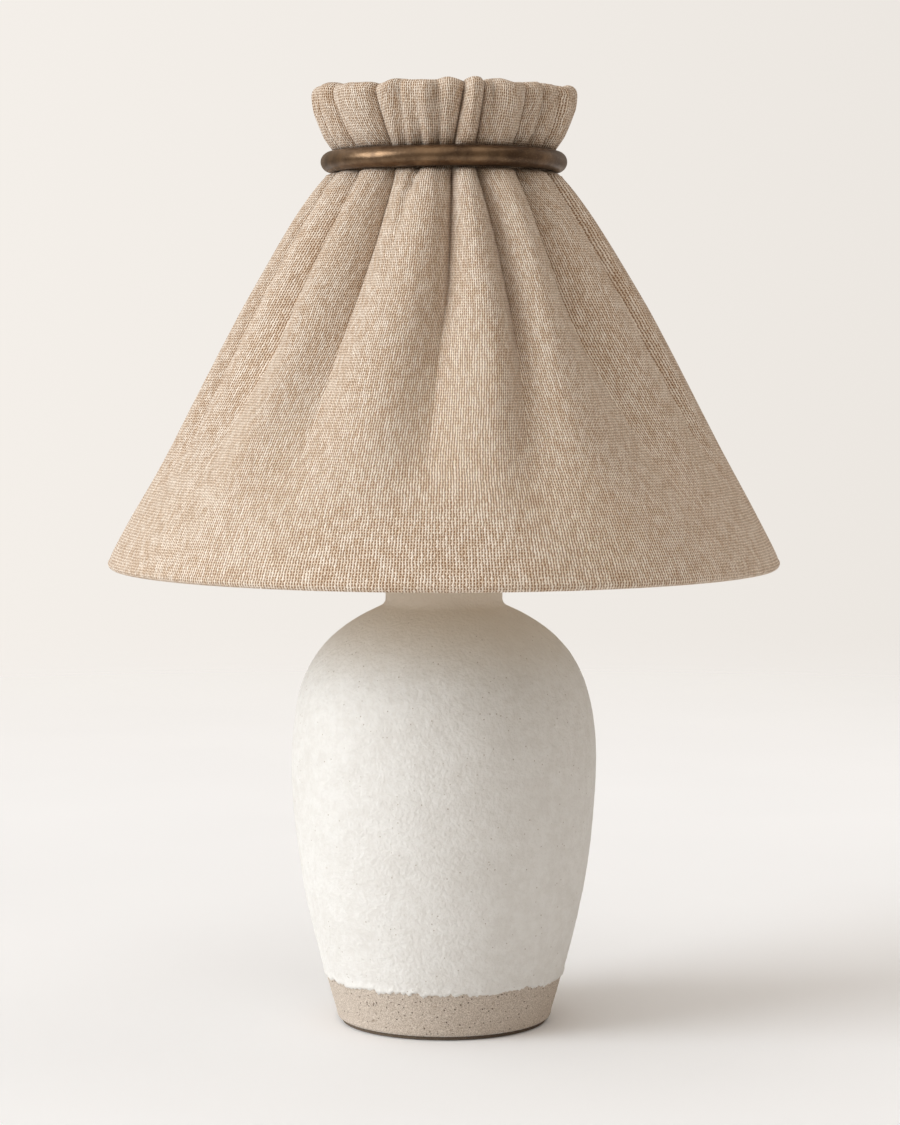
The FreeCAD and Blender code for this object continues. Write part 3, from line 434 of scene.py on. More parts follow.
def fold_rise():
    """Each point's azimuth in degrees, and how far it stands between floor (0) and crest (1)."""
    level = CREST[:, 1]
    azimuths = np.array([smoothed(level, HEIGHTS, lie, 6.0) for lie, *_ in CREASES])
    depths = np.array([smoothed(level, HEIGHTS, depth, 6.0) for _, depth, *_ in CREASES])
    share = (0.5 - 0.5 * np.cos(np.pi * np.arange(STEPS) / STEPS))[None, :]
    turn = np.zeros((len(CREST), len(CREASES) * STEPS))
    rise = np.zeros_like(turn)
    for number, (*_, crest_low, crest_high) in enumerate(CREASES):
        after = (number + 1) % len(CREASES)
        start, end = azimuths[number], azimuths[after] + (360 if after == 0 else 0)
        crest = np.interp(level, CREST_LEVELS, [crest_low, crest_high])[:, None]
        toward = np.where(share < crest, share / crest, (1 - share) / (1 - crest))
        wave = np.sin(np.pi / 2 * toward) ** SHARPNESS[:, None]
        depth = np.where(share < crest, depths[number][:, None], depths[after][:, None])
        columns = slice(number * STEPS, (number + 1) * STEPS)
        turn[:, columns] = start[:, None] + (end - start)[:, None] * share
        rise[:, columns] = 1 - depth * (1 - wave)
    return turn, rise


def fold_linen():
    turn, rise = fold_rise()
    radius = FLOOR[:, :1] + (CREST - FLOOR)[:, :1] * rise
    height = FLOOR[:, 1:] + (CREST - FLOOR)[:, 1:] * rise
    for lie, depth in SHORT_CREASES:
        apart = np.abs(turn - smoothed(CREST[:, 1], HEIGHTS, lie, 6.0)[:, None])
        pinch = smoothed(CREST[:, 1], HEIGHTS, depth, 5.0)[:, None]
        radius = radius - pinch * np.exp(-apart / SHORT_CREASE_WIDTH)
    radius = np.maximum(radius, FLOOR[:, :1])
    angle = np.radians(turn)
    return np.stack([radius * np.sin(angle), -radius * np.cos(angle), height], -1)


smooth_linen = fold_linen()
print("folded linen:", smooth_linen.shape[0], "rows of", smooth_linen.shape[1], "points")

# %% [markdown]
# ## Small unevenness
#
# Real linen is never as even as a formula. Slow waves run all over it, and fine puckers run down from the
# ring and die out; under the ring itself the cloth is held tight. The ruffle's top edge dips here and there.

# %% Rucking the linen
TOP_DIPS = ((4, 0.5), (9, 0.6), (17, 0.5), (29, 0.35))  # waves round the top edge: how many, and mm


def ripples(count, waves_around, wave_lengths, share, angle, level):
    """Sines that run round and up the cloth, each of a random size and start."""
    total = np.zeros_like(angle)
    for _ in range(count):
        around = rng.integers(*waves_around)
        up = rng.uniform(-1, 1) * 2 * np.pi / rng.uniform(*wave_lengths)
        total += rng.uniform(0.4, 1) / share * np.sin(around * angle + up * level + rng.uniform(0, 6.3))
    return total


def ruck(points):
    radius = np.hypot(points[..., 0], points[..., 1])
    angle = np.arctan2(points[..., 0], -points[..., 1])
    level = points[..., 2]
    slow = ripples(26, (3, 34), (70, 220), 13, angle, level)
    fine = ripples(22, (50, 170), (60, 160), 9, angle, level)
    off_hem = np.clip((level - 280) / 30, 0, 1)
    near_ring = np.interp(level, [360, 440, 500, 556], [0, 0.35, 0.6, 0.6])
    at_ring = 1 - 0.8 * np.exp(-((level - RING_LEVEL) / 7) ** 2)
    change = (0.9 * slow * off_hem + fine * near_ring) * at_ring
    rucked = points * np.stack([(radius + change) / radius] * 2 + [np.ones_like(radius)], -1)
    dip = sum(size * np.sin(count * angle + count) for count, size in TOP_DIPS)
    rucked[..., 2] -= (0.9 + dip) * np.clip((level - 524) / 30, 0, 1)
    return rucked


folded = ruck(smooth_linen)
linen = wrap("linen_shade", folded, "shade", "linen")
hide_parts("shade_skirt", "shade_ruffle")

# %% [markdown]
# ## Threads
#
# The cloth's own measure, in metres of linen, is kept with the mesh, so that the weave stays one size and
# follows the folds. Along the threads it is the way up the outline, and across them the way round from each
# fold's crest. Where the ring crowds the folds, the extra cloth is lost in the creases, as when real linen
# is gathered.

# %% Cloth measure
TURNED_IN = 14       # rows inside, under and round the hem, none of which is measured round
LOOSEST = 1.32       # how much wider than it lies the weave may be drawn, before cloth is lost in a crease
EASE = 0.2           # how gently the measure goes over from one way of counting to the other
ABOVE_HEM = 282      # the level of the row that is measured round, to find the cloth's cut width


def way_round(points):
    """How far each point lies from its fold's start, along the cloth, row by row and fold by fold."""
    rows = len(points)
    around = np.linalg.norm(np.roll(points, -1, 1) - points, axis=2).reshape(rows, len(CREASES), STEPS)
    return np.concatenate([np.zeros((rows, len(CREASES), 1)), np.cumsum(around, 2)], 2)


def crest_place(reach):
    """How far each fold's crest lies from the fold's start."""
    crests = [crest_high for *_, crest_high in CREASES]
    shares = np.linspace(0, 1, STEPS + 1)
    return np.array([[np.interp(crest, shares, row[number]) for number, crest in enumerate(crests)]
                     for row in reach])


def measure_cloth(item, points):
    rows, columns = points.shape[:2]
    along = np.concatenate([[0], np.cumsum(np.linalg.norm(np.diff(CREST, axis=0), axis=1))])
    reach = way_round(points)
    width = reach[:, :, -1]
    hem_row = TURNED_IN + int(np.argmin(np.abs(CREST[TURNED_IN:, 1] - ABOVE_HEM)))
    cut_width = width[hem_row] * HEM_RADIUS / CREST[hem_row, 0]
    offset = np.concatenate([[0], np.cumsum(cut_width)[:-1]])
    full = cut_width[None, :] / width
    looser = np.minimum(full, LOOSEST)
    crest_reach = crest_place(reach)
    tight = np.clip((full - looser) / EASE, 0, 1)
    centre = offset[None, :] + crest_reach[hem_row] / width[hem_row] * cut_width
    from_start = offset[None, :, None] + reach * full[:, :, None]
    from_crest = centre[:, :, None] + (reach - crest_reach[:, :, None]) * looser[:, :, None]
    across = from_start * (1 - tight[:, :, None]) + from_crest * tight[:, :, None]
    low, high = across[:, :, :-1].reshape(rows, -1), across[:, :, 1:].reshape(rows, -1)
    up = np.broadcast_to(along[:, None], (rows, columns))
    corner_u = np.stack([low[:-1], high[:-1], high[1:], low[1:]], -1)
    corner_v = np.stack([up[:-1], up[:-1], up[1:], up[1:]], -1)
    layer = item.data.uv_layers.new(name="cloth")
    layer.data.foreach_set("uv", (np.stack([corner_u, corner_v], -1) * MM).astype(np.float32).ravel())
    return along[-1], cut_width.sum()


length, width = measure_cloth(linen, folded)
print("cut width %.3f m, length up the outline %.3f m" % (width * MM, length * MM))

# %% [markdown]
# ## Linen
#
# A coarse plain weave: each thread goes over one and under the next. The threads are spun unevenly, with
# thick slubs, and wander a little; small dark holes show where four of them meet. A thread is a round hump
# across its width, and goes up and down along its length as it crosses the others. The higher of the two
# threads is the one that shows.

# %% Threads of the linen
WARP_PER_METRE = 575.0
WEFT_PER_METRE = 590.0


def strayed(f, cloth, length, per_metre, slow, quick):
    """A length counted in threads, let wander a little."""
    slow_stray = f.times(f.math("SUBTRACT", f.noise(cloth, slow, 2.0), 0.5), 0.7)
    quick_stray = f.times(f.math("SUBTRACT", f.noise(cloth, quick, 1.0), 0.5), 0.6)
    return f.add(f.times(length, per_metre), f.add(slow_stray, quick_stray))


def slubs(f, thread, along, spread):
    """Thick and thin places along each thread."""
    spot = f.node("ShaderNodeCombineXYZ", None, X=f.times(thread, spread), Y=f.times(along, 0.22)).outputs[0]
    return f.noise(spot, 1.0, 2.0, 0.6, noise_dimensions="2D")


def roundness(f, across, half_width):
    """1 along the middle of a thread, and 0 at its sides."""
    side = f.math("ABSOLUTE", f.math("SUBTRACT", f.math("FRACT", across), 0.5))
    return f.ramp(f.math("DIVIDE", side, half_width), 1.0, 0.1)


def over_and_under(f, along, thread):
    return f.math("COSINE", f.times(f.add(along, f.add(thread, 0.5)), math.pi))


print("threads stand %.2f and %.2f mm apart" % (1000 / WARP_PER_METRE, 1000 / WEFT_PER_METRE))

# %% [markdown]
# ## Linen's colour
#
# Unbleached flax is a warm grey-brown that pales where it is rubbed. The tone follows the slubs and knots,
# fine fibres lie along the threads, and the holes and the low sides of the threads are painted brown as
# shade.

# %% Linen
def linen_finish():
    f = Finish("linen")
    cloth = f.node("ShaderNodeUVMap", {"uv_map": "cloth"}).outputs[0]
    split = f.node("ShaderNodeSeparateXYZ")
    f.feed(split.inputs[0], cloth)
    across = strayed(f, cloth, split.outputs[0], WARP_PER_METRE, 62.0, 260.0)
    along = strayed(f, cloth, split.outputs[1], WEFT_PER_METRE, 74.0, 290.0)
    warp, weft = f.math("FLOOR", across), f.math("FLOOR", along)
    warp_slub, weft_slub = slubs(f, warp, along, 3.7), slubs(f, weft, across, 5.3)
    warp_round = roundness(f, across, f.ramp(warp_slub, 0.3, 0.7, 0.36, 0.5))
    weft_round = roundness(f, along, f.ramp(weft_slub, 0.3, 0.7, 0.3, 0.46))
    warp_height = f.times(warp_round, f.add(f.times(over_and_under(f, along, warp), 0.2), 0.8))
    weft_height = f.times(weft_round, f.add(f.times(over_and_under(f, across, weft), 0.3), 0.5))
    height = f.math("MAXIMUM", warp_height, weft_height)
    knots = f.noise(cloth, 900.0, 2.0, 0.6)
    fibre = f.noise(f.scaled(cloth, (1.0, 0.25, 1.0)), 5200.0, 2.0)
    spun = f.add(f.times(warp_slub, 0.6), f.times(knots, 0.25))
    tone = f.add(f.times(f.noise(cloth, 16.0, 3.0), 0.15), spun)
    thread = f.mix(f.ramp(tone, 0.35, 0.65), linear(232, 210, 186), linear(252, 240, 225))
    fibrous = f.mix(f.times(f.ramp(fibre, 0.35, 0.65), 0.2), thread, linear(222, 197, 168))
    # painted shade: the low places of the weave, the holes and each thread's sides, are darkened brown
    uneven = f.add(height, f.times(f.math("SUBTRACT", knots, 0.5), 0.25))
    shade = f.mix(f.ramp(uneven, 0.12, 0.56), linear(146, 110, 79), fibrous)
    relief = f.add(height, f.add(f.times(fibre, 0.2), f.times(knots, 0.3)))
    return f.surface(Base_Color=shade, Roughness=0.92, Specular_IOR_Level=0.15, Sheen_Weight=0.15,
                     Sheen_Roughness=0.45, Normal=f.bump(relief, 0.00055, 1.0))


give(linen_finish(), linen)
print("linen finish:", len(linen.active_material.node_tree.nodes), "nodes")

# %% [markdown]
# ## Stoneware jar
#
# The jar is thrown on a wheel and turned, dipped in a matte cream glaze and fired. Its outline is one smooth
# curve from the foot to the shoulder, so it is drawn with a spline through the same control points as the
# measured jar, and closed with the foot's rim, the neck and the hollow inside.

# %% Jar outline
NECK_BEND = 38.6  # where the shoulder's curve gives way to the small bend up into the neck


def clamped_spline(poles, count):
    """Points on a clamped uniform cubic spline, each blended in three rounds from four poles."""
    spans = len(poles) - 3
    knots = np.concatenate([[0] * 3, np.arange(spans + 1), [spans] * 3]).astype(float)
    poles = np.array(poles, float)
    result = np.zeros((count, 2))
    for index, place in enumerate(np.linspace(0, spans, count)):
        span = min(int(place), spans - 1) + 3
        blend = [poles[span - 3 + near] for near in range(4)]
        for turn in range(1, 4):
            for near in range(3, turn - 1, -1):
                low = knots[span - 3 + near]
                share = (place - low) / (knots[span + 1 + near - turn] - low)
                blend[near] = (1 - share) * blend[near - 1] + share * blend[near]
        result[index] = blend[3]
    return result


def jar_wall():
    """The outside from foot to neck, with rows close together where the glaze ends."""
    curve = clamped_spline([(64.5, 4), (76, 44), (88, 91.1), (96, 195.9), (71, 236.1), (35, 251)], 400)
    reach = np.concatenate([[0], np.cumsum(np.linalg.norm(np.diff(curve, axis=0), axis=1))])
    fine = np.concatenate([np.arange(0, 36, 0.55), np.arange(36, reach[-1], 1.75)])
    wall = np.stack([np.interp(fine, reach, curve[:, 0]), np.interp(fine, reach, curve[:, 1])], 1)
    return np.concatenate([wall[wall[:, 0] > NECK_BEND], arc((40, 254.34), 5, 247.5, 180, 9)])


def jar_outline():
    """The whole outline, foot first, and the rows between which it is the outside wall."""
    wall = jar_wall()
    rim = [(12, 22), (44, 22), (48.5, 20.5), (50, 17), (50, 3), (50.6, 2.2), (51.5, 2), (58, 2), (61.6, 2)]
    foot = np.array(rim + [(63.0, 2.25), (64.0, 2.9)])
    lip = [(35, 266.8), (34.6, 267.6), (33.8, 268), (30.4, 268), (29.4, 267.4), (29, 266)]
    neck = np.array([(35, 256), (35, 260), (35, 264)] + lip + [(29, 252), (29, 245)])
    inside = [(29, 245), (65, 230), (90, 192.9), (82, 91.1), (70, 44), (58.5, 30)]
    hollow = clamped_spline(inside, 40)[1:]
    floor = np.array([(40, 30), (12, 30)])
    return np.concatenate([foot, wall, neck, hollow, floor]), len(foot), len(foot) + len(wall)


print("rows of the jar:", len(jar_outline()[0]))

# %% [markdown]
# ## Jar skin
#
# The glaze stops short of the foot in an uneven line with a slightly thick lip, because it was wiped back and
# then crept in the kiln; below it the clay is bare, sandy and pitted. Every point is pushed out or in by the
# glaze's thickness, the pits and the slow marks of throwing, so that these show at the jar's edge as well.
# Each point also keeps how far it is above the glaze's line, for the finish to use.

# %% Jar skin
GLAZE_LINE = 28.0
JAR_COLUMNS = 560


def glaze_line(way):
    """The level where the glaze ends, in one direction round the jar."""
    line = GLAZE_LINE + 1.8 * noise.noise(way * 3.1) + 1.6 * noise.noise(way * 11 + Vector((5, 1, 2)))
    return line + (1.7 * noise.noise(way * 27) + 1.0 * noise.noise(way * 60))


def glaze_thickness(spot, beyond):
    lip = 0.55 + 0.5 * math.exp(-((beyond - 1.6) / 1.5) ** 2)
    cover = lip * min(1.0, beyond / 0.5)
    return cover + noise.noise(spot * 0.32) * 0.09 + noise.noise(spot * 0.9) * 0.05


def clay_grit(spot):
    grit = noise.noise(spot * 0.8) * 0.18 + noise.noise(spot * 2.1) * 0.12
    pit = max(0.0, noise.noise(spot * 0.42 + Vector((9, 2, 4))) - 0.42) * -2.6
    return grit + pit


def jar_points():
    outline, start, end = jar_outline()
    points = np.zeros((len(outline), JAR_COLUMNS, 3))
    over_line = np.zeros((len(outline), JAR_COLUMNS))
    for column, turn in enumerate(np.linspace(0, 2 * np.pi, JAR_COLUMNS, endpoint=False)):
        way = Vector((math.sin(turn), -math.cos(turn), 0))
        line = glaze_line(way)
        for row, (radius, level) in enumerate(outline):
            if start <= row < end:
                spot = way * radius + Vector((0, 0, level))
                beyond = level - line
                over_line[row, column] = beyond
                slow = noise.noise(spot * 0.028 + Vector((3, 8, 1))) * 0.35
                throwing = noise.noise(Vector((turn * 0.5, 0, level * 0.16))) * 0.12
                push = glaze_thickness(spot, beyond) if beyond > 0 else clay_grit(spot)
                fade = min(1.0, (row - start) / 6, (end - row) / 8)
                radius = radius + (push - 0.3 + slow + throwing) * fade
            points[row, column] = (radius * way.x, radius * way.y, level)
    return points, over_line


jar_grid, over_line = jar_points()
jar = wrap("stoneware_jar", jar_grid, "root", "stoneware", closed_rows=True)
mark = jar.data.attributes.new("over_line", "FLOAT", "POINT")
mark.data.foreach_set("value", over_line.astype(np.float32).ravel())
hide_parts("ceramic_body")

# %% [markdown]
# ## Cord outlet
#
# A hole is bored through the back of the foot before firing, with a wider seat outside for its rubber lining.
# Both bores are cylinders cut out of the finished skin, at the height where the lining sits.

# %% Cord outlet through the jar's foot
OUTLET_BORES = ((5.6, 46, 80), (7.6, 65.5, 80))  # radius, and where along the depth it starts and ends


def bore_tool(radius, start, end, level):
    bpy.ops.mesh.primitive_cylinder_add(vertices=64, radius=radius * MM, depth=(end - start) * MM,
                                        location=(0, (start + end) / 2 * MM, level * MM),
                                        rotation=(math.pi / 2, 0, 0))
    return bpy.context.object


def bore_outlet(item):
    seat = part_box("cord_grommet")
    level = (seat[0].z + seat[1].z) / 2 / MM
    for radius, start, end in OUTLET_BORES:
        tool = bore_tool(radius, start, end, level)
        cutter = item.modifiers.new("outlet", "BOOLEAN")
        cutter.operation, cutter.object, cutter.solver = "DIFFERENCE", tool, "EXACT"
        bpy.context.view_layer.objects.active = item
        bpy.ops.object.modifier_apply(modifier=cutter.name)
        bpy.data.objects.remove(tool)


bore_outlet(jar)
soften(jar)
print("jar faces after the outlet was bored:", len(jar.data.polygons))

# %% [markdown]
# ## Glaze and bare clay
#
# A matte glaze is a soft, slightly cloudy cream, with a few brown flecks of iron that rose through it. Near
# the top it is painted warmer, as painted light thrown down from the linen. The bare clay is sandy, with dark
# pits whose brown is painted shade, and pale grains of fired clay. Each colour comes from noise in the jar's
# own coordinates, so it stays put.

# %% Colours of glaze and clay
def glaze_colour(f, place, level):
    cloud = f.noise(place, 40.0, 5.0, 0.65)
    mottle = f.add(f.times(cloud, 0.4), f.times(f.noise(place, 150.0, 4.0, 0.7), 0.6))
    cream = f.mix(f.ramp(mottle, 0.38, 0.62), linear(219, 216, 211), linear(227, 225, 221))
    # painted light: the glaze is tinted warmer towards the top, for the warm light the linen throws on it
    painted_linen_light = f.mix(f.ramp(level, 0.205, 0.262, 0.0, 0.75), cream, linear(222, 204, 182))
    fleck = f.ramp(f.spots(place, 230.0), 0.13, 0.07)
    fleck_on = f.ramp(f.noise(place, 110.0, 1.0), 0.48, 0.52)
    return f.mix(f.times(f.times(fleck, fleck_on), 0.6), painted_linen_light, linear(146, 128, 106))


def clay_colour(f, place, sand, pit):
    clay = f.mix(f.ramp(sand, 0.32, 0.68), linear(168, 152, 136), linear(224, 212, 199))
    # painted shade: the pits are darkened brown, as shade in their hollows
    pitted = f.mix(pit, clay, linear(84, 68, 54))
    grog = f.ramp(f.spots(f.scaled(place, (1.3, 1.3, 1.3)), 410.0), 0.16, 0.08)
    return f.mix(f.times(grog, 0.6), pitted, linear(228, 220, 208))


print("colours ready:", glaze_colour.__name__, "and", clay_colour.__name__)

# %% [markdown]
# ## Stoneware finish
#
# One material wears both colours. The stored height above the glaze's line, roughened a little, decides
# which one shows, and the relief changes with it: a fine orange-peel on the glaze, and grit on the clay.

# %% Stoneware finish
def stoneware_finish():
    f = Finish("stoneware")
    place = f.place()
    up = f.node("ShaderNodeSeparateXYZ")
    f.feed(up.inputs[0], place)
    beyond = f.node("ShaderNodeAttribute", {"attribute_name": "over_line"}).outputs["Fac"]
    ragged = f.add(beyond, f.times(f.math("SUBTRACT", f.noise(place, 900.0, 3.0), 0.5), 1.4))
    # the neck, the inside and all above 32 mm are glazed, whatever the stored height says
    high = f.ramp(up.outputs[2], 0.0320, 0.0321)
    glazed = f.math("MAXIMUM", f.ramp(ragged, -0.05, 0.2), high)
    sand = f.noise(place, 1500.0, 3.0, 0.7)
    pit = f.times(f.ramp(f.spots(place, 360.0), 0.19, 0.11), f.ramp(f.noise(place, 240.0, 1.0), 0.44, 0.5))
    colour = f.mix(glazed, clay_colour(f, place, sand, pit), glaze_colour(f, place, up.outputs[2]))
    rough = f.ramp(glazed, 0.0, 1.0, 0.95, 0.6)
    glaze_relief = f.add(f.times(f.noise(place, 430.0, 3.0), 1.5), f.times(f.noise(place, 1500.0, 2.0), 0.2))
    clay_relief = f.add(f.times(sand, 1.3), f.times(pit, -1.6))
    relief = f.add(f.times(glazed, glaze_relief), f.times(f.math("SUBTRACT", 1.0, glazed), clay_relief))
    return f.surface(Base_Color=colour, Roughness=rough, Specular_IOR_Level=0.35,
                     Normal=f.bump(relief, 0.0005, 0.9))


give(stoneware_finish(), jar)
print("stoneware finish:", len(jar.active_material.node_tree.nodes), "nodes")

# %% [markdown]
# ## Gathering ring
#
# A round bar, rolled into a hoop and brazed. It is drawn as a ring of points and made a little uneven, as a
# bar bent by hand is: the girth swells and shrinks by a few hundredths of a millimetre, and the ring rises
# and falls a quarter of a millimetre on its way round.

# %% Ring
HAMMER_MARKS = ((5, 1), (9, 2), (14, -1), (23, 3))  # waves round the ring and round its bar


def ring_points(columns=420, rows=40):
    low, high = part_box("gather_ring")
    tube = (high.z - low.z) / 2 / MM
    radius = high.x / MM - tube
    around, across = np.meshgrid(np.linspace(0, 2 * np.pi, columns, endpoint=False),
                                 np.linspace(0, 2 * np.pi, rows, endpoint=False))
    hammered = sum(0.03 * np.sin(k * around + m * across + k) for k, m in HAMMER_MARKS)
    girth = tube - 0.12 + hammered
    out = radius + girth * np.cos(across)
    level = RING_LEVEL + girth * np.sin(across) + 0.25 * np.sin(2 * around + 0.6)
    return np.stack([out * np.sin(around), -out * np.cos(around), level], -1)


ring = wrap("bronze_ring", ring_points(), "shade", "bronze", closed_rows=True)
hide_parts("gather_ring")

# %% [markdown]
# ## Bronze
#
# The metal is darkened with a chemical patina and rubbed back by hand, so brown lies in clouds over a warmer
# metal that shows through where it was rubbed. A metal's colour is the colour of its reflections.

# %% Bronze
def bronze_finish():
    f = Finish("bronze")
    place = f.place()
    cloud = f.noise(place, 38.0, 5.0, 0.6)
    blotch = f.noise(place, 130.0, 4.0, 0.65)
    rub = f.noise(f.scaled(place, (1, 1, 2)), 700.0, 3.0)
    warm = f.mix(f.ramp(cloud, 0.35, 0.65), linear(84, 64, 47), linear(132, 106, 80))
    patina = f.mix(f.times(f.ramp(blotch, 0.42, 0.7), 0.4), warm, linear(58, 46, 37))
    metal = f.mix(f.times(f.ramp(rub, 0.5, 0.75), 0.3), patina, linear(150, 128, 102))
    rough = f.ramp(blotch, 0.3, 0.7, 0.3, 0.36)
    normal = f.bump(f.add(rub, f.times(blotch, 1.5)), 0.00012, 0.5)
    return f.surface(Base_Color=metal, Metallic=0.85, Roughness=rough, Normal=normal)


give(bronze_finish(), ring)
print("bronze finish:", len(ring.active_material.node_tree.nodes), "nodes")

# %% [markdown]
# ## Pieces kept from the frame
#
# The rubber, the plated steel, the brass, the card and the moulded pieces keep the frame's shapes. Their
# finishes are alike in kind: two tones in clouds, with roughness that follows the clouds and a fine grain.

# %% Two-tone finish
def plain_finish(name, dark, light, scale, rough, metallic=0.0, relief=0.00008):
    f = Finish(name)
    place = f.place()
    cloud = f.noise(place, scale, 4.0, 0.6)
    grain = f.noise(place, scale * 9, 3.0, 0.6)
    share = f.ramp(f.add(f.times(cloud, 0.65), f.times(grain, 0.35)), 0.35, 0.65)
    tone = f.mix(share, linear(*dark), linear(*light))
    return f.surface(Base_Color=tone, Roughness=f.ramp(cloud, 0.3, 0.7, *rough), Metallic=metallic,
                     Normal=f.bump(grain, relief, 0.7))


# for each slot: name, dark tone, light tone, clouds per metre, roughness from and to, and 1.0 for a metal
TWO_TONE = {
    "grommet_rubber": ("rubber", (58, 46, 38), (82, 68, 56), 160, (0.55, 0.75)),
    "zinc_steel": ("zinc_steel", (150, 150, 146), (196, 196, 192), 90, (0.28, 0.45), 1.0),
    "antique_brass": ("antique_brass", (104, 78, 44), (158, 122, 72), 60, (0.3, 0.48), 1.0),
    "socket_brass": ("socket_brass", (196, 160, 92), (222, 188, 118), 40, (0.2, 0.34), 1.0),
    "card_sleeve": ("card", (160, 132, 96), (190, 162, 124), 240, (0.85, 0.95)),
    "black_phenolic": ("phenolic", (24, 22, 21), (38, 35, 33), 120, (0.22, 0.4)),
    "bulb_aluminium": ("aluminium", (186, 186, 186), (222, 222, 222), 80, (0.25, 0.4), 1.0),
    "harp_steel": ("harp_bronze", (96, 72, 44), (136, 106, 68), 110, (0.3, 0.45), 0.9),
    "frame_paint": ("frame_paint", (222, 219, 210), (236, 233, 226), 70, (0.35, 0.5)),
}
KEPT = {slot: plain_finish(*tones) for slot, tones in TWO_TONE.items()}
print("two-tone finishes:", len(KEPT))

# %% [markdown]
# ## Felt, lining and glass
#
# Three kept pieces need more. Felt is a mat of fibres that cross every way, so two stretched noises are laid
# over each other. The lining is a rolled plastic card with a faint upright grain. The bulb's glass is
# frosted: it passes a little light, and the rest is scattered at its surface.

# %% Felt, lining and glass
def felt_finish():
    f = Finish("felt")
    place = f.place()
    fibres = f.noise(f.scaled(place, (1.0, 3.0, 1.0)), 1300.0, 4.0, 0.7)
    crossed = f.noise(f.scaled(place, (3.0, 1.0, 1.0)), 1500.0, 4.0, 0.7)
    pile = f.math("MAXIMUM", fibres, crossed)
    tone = f.mix(f.ramp(pile, 0.4, 0.75), linear(92, 80, 69), linear(134, 120, 105))
    return f.surface(Base_Color=tone, Roughness=1.0, Specular_IOR_Level=0.1, Normal=f.bump(pile, 0.0006, 1.0))


def lining_finish():
    f = Finish("lining")
    place = f.place()
    grain = f.noise(f.scaled(place, (1, 1, 0.1)), 900.0, 3.0)
    cloud = f.noise(place, 14.0, 3.0)
    tone = f.mix(f.ramp(cloud, 0.3, 0.7), linear(232, 226, 214), linear(244, 240, 232))
    return f.surface(Base_Color=tone, Roughness=0.6, Normal=f.bump(grain, 0.00008, 0.5))


def frosted_finish():
    f = Finish("frosted_glass")
    place = f.place()
    grain = f.noise(place, 1600.0, 2.0)
    cloud = f.noise(place, 30.0, 2.0)
    tone = f.mix(f.ramp(cloud, 0.3, 0.7), linear(236, 236, 232), linear(246, 246, 243))
    return f.surface(Base_Color=tone, Roughness=0.28, Transmission_Weight=0.35, IOR=1.45,
                     Normal=f.bump(grain, 0.00003, 0.4))


KEPT.update(felt=felt_finish(), lining_card=lining_finish(), frosted_glass=frosted_finish())
print("finishes for kept pieces:", len(KEPT))

# %% [markdown]
# ## Every kept piece gets its finish
#
# The frame says which material each part is made of. The pieces that were replaced above are hidden by now,
# so those that still show are the kept ones.

# %% Finishes on the kept pieces
SLOT_OF = {row["node"]: row["material_slot"] for row in frame["record"]["subparts"]}
for node, item in NODES.items():
    if item.hide_render:
        continue
    give(KEPT[SLOT_OF[node]], item)
print("kept pieces:", sum(not item.hide_render for item in NODES.values()))

# %% [markdown]
# ## Floor
#
# A pale, matte floor that fades out into the same pale air, so that no edge of a room shows. It lies a hair
# below the felt, so that the two faces don't fight for one place.

# %% Floor
FLOOR_RADIUS = 3.2
BELOW_FELT = 0.0003


def stage_floor():
    bpy.ops.mesh.primitive_circle_add(vertices=128, radius=FLOOR_RADIUS, fill_type="NGON",
                                      location=(0, 0, -BELOW_FELT))
    ground = bpy.context.object
    ground.name = "floor"
    f = Finish("floor")
    place = f.place()
    away = f.node("ShaderNodeVectorMath", {"operation": "LENGTH"})
    f.feed(away.inputs[0], place)
    cloud = f.noise(place, 3.0, 2.0)
    tone = f.mix(f.ramp(cloud, 0.2, 0.8), linear(247, 248, 250), linear(250, 251, 253))
    paint = f.node("ShaderNodeBsdfPrincipled", None, Base_Color=tone, Roughness=0.9, Specular_IOR_Level=0.1)
    clear = f.node("ShaderNodeBsdfTransparent")
    blend = f.node("ShaderNodeMixShader")
    f.feed(blend.inputs[0], f.ramp(away.outputs["Value"], 0.7, 2.6))
    f.feed(blend.inputs[1], paint.outputs[0])
    f.feed(blend.inputs[2], clear.outputs[0])
    f.feed(f.output.inputs["Surface"], blend.outputs[0])
    give(f.material, ground)
    return ground


print("floor:", stage_floor().name)

# %% [markdown]
# ## Air
#
# Behind the lamp the air looks like a pale wall, a little darker to the right. What lights the lamp from all
# round is dimmer and warmer than that wall looks, so the two are kept apart: rays from the camera see the
# wall, and all other rays see the glow.

# %% Air
WALL_LEFT = linear(244, 239, 233)
WALL_RIGHT = linear(236, 231, 225)
WALL_HALF_WIDTH = 0.15  # how far to each side of straight ahead the wall goes from one tone to the other


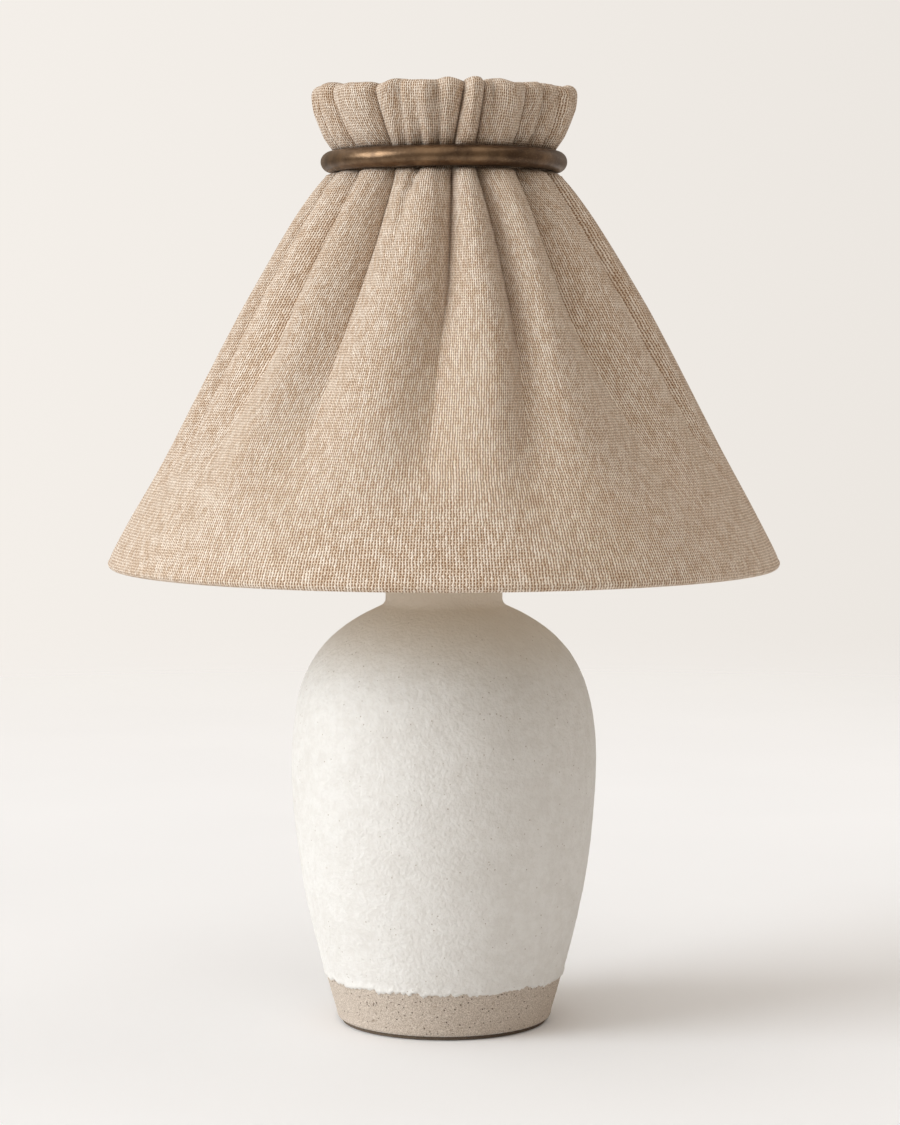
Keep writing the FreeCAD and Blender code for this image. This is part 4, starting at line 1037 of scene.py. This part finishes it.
def air(glow, strength):
    world = bpy.data.worlds.new("air")
    bpy.context.scene.world = world
    world.use_nodes = True
    tree = world.node_tree
    seen, lit = tree.nodes["Background"], tree.nodes.new("ShaderNodeBackground")
    way, split = tree.nodes.new("ShaderNodeTexCoord"), tree.nodes.new("ShaderNodeSeparateXYZ")
    spread, wall = tree.nodes.new("ShaderNodeMapRange"), tree.nodes.new("ShaderNodeMix")
    wall.data_type = "RGBA"
    spread.inputs["From Min"].default_value = -WALL_HALF_WIDTH
    spread.inputs["From Max"].default_value = WALL_HALF_WIDTH
    wall.inputs[6].default_value, wall.inputs[7].default_value = WALL_LEFT, WALL_RIGHT
    lit.inputs["Color"].default_value, lit.inputs["Strength"].default_value = glow, strength
    path, blend = tree.nodes.new("ShaderNodeLightPath"), tree.nodes.new("ShaderNodeMixShader")
    links = (
        (way.outputs["Generated"], split.inputs[0]),
        (split.outputs["X"], spread.inputs["Value"]),
        (spread.outputs[0], wall.inputs[0]),
        (wall.outputs[2], seen.inputs["Color"]),
        (path.outputs["Is Camera Ray"], blend.inputs[0]),
        (lit.outputs[0], blend.inputs[1]),
        (seen.outputs[0], blend.inputs[2]),
        (blend.outputs[0], tree.nodes["World Output"].inputs["Surface"]),
    )
    for start, end in links:
        tree.links.new(start, end)
    return len(links)


print("air, links between its nodes:", air((1.0, 0.87, 0.73, 1.0), 0.32))

# %% [markdown]
# ## Light
#
# A wide, low light from the left, as from a large window, models the folds and the jar. A broader one comes
# down from the ceiling and keeps the shadow on the floor soft. A faint, warm one from behind on the right
# keeps that side from going grey. All three are suns, so they light the lamp the same wherever it is moved.

# %% Light
def soft_sun(name, place, width, strength, colour):
    """A light that comes from the side where place is, as wide as width in degrees."""
    lamp = bpy.data.lights.new(name, "SUN")
    lamp.angle, lamp.energy, lamp.color = math.radians(width), strength, colour
    item = bpy.data.objects.new(name, lamp)
    bpy.context.scene.collection.objects.link(item)
    item.location = place
    item.rotation_euler = (-Vector(place)).to_track_quat("-Z", "Y").to_euler()
    print(name, "light:", strength, "over", width, "degrees")


soft_sun("window", (-2.3, -0.83, 0.84), 38, 2.2, (0.94, 0.985, 1.02))
soft_sun("ceiling", (-0.5, -0.3, 2.0), 110, 1.4, (1.0, 0.98, 0.96))
soft_sun("bounce", (2.2, 1.1, 0.5), 60, 0.3, (1.0, 0.92, 0.84))

# %% [markdown]
# ## Camera
#
# The lamp is seen from the front and a little from above, through a long lens, so that the jar stands upright
# and the hem shows as a shallow curve.

# %% Camera
def camera(place, aim, lens):
    eye = bpy.data.cameras.new("camera")
    eye.lens, eye.sensor_width = lens, 36
    item = bpy.data.objects.new("camera", eye)
    bpy.context.scene.collection.objects.link(item)
    item.location = place
    item.rotation_euler = (Vector(aim) - Vector(place)).to_track_quat("-Z", "Y").to_euler()
    bpy.context.scene.camera = item


camera((0.0036, -1.8214, 0.407), (0.0036, 0, 0.2758), 97.6)
bpy.context.scene.view_settings.view_transform = "Standard"
print("camera stands", round(bpy.context.scene.camera.location.length, 2), "m from the lamp's foot")

# %% [markdown]
# ## Last update
#
# The view layer is brought up to date, so that every piece stands where it was put.

# %% Last update
bpy.context.view_layer.update()
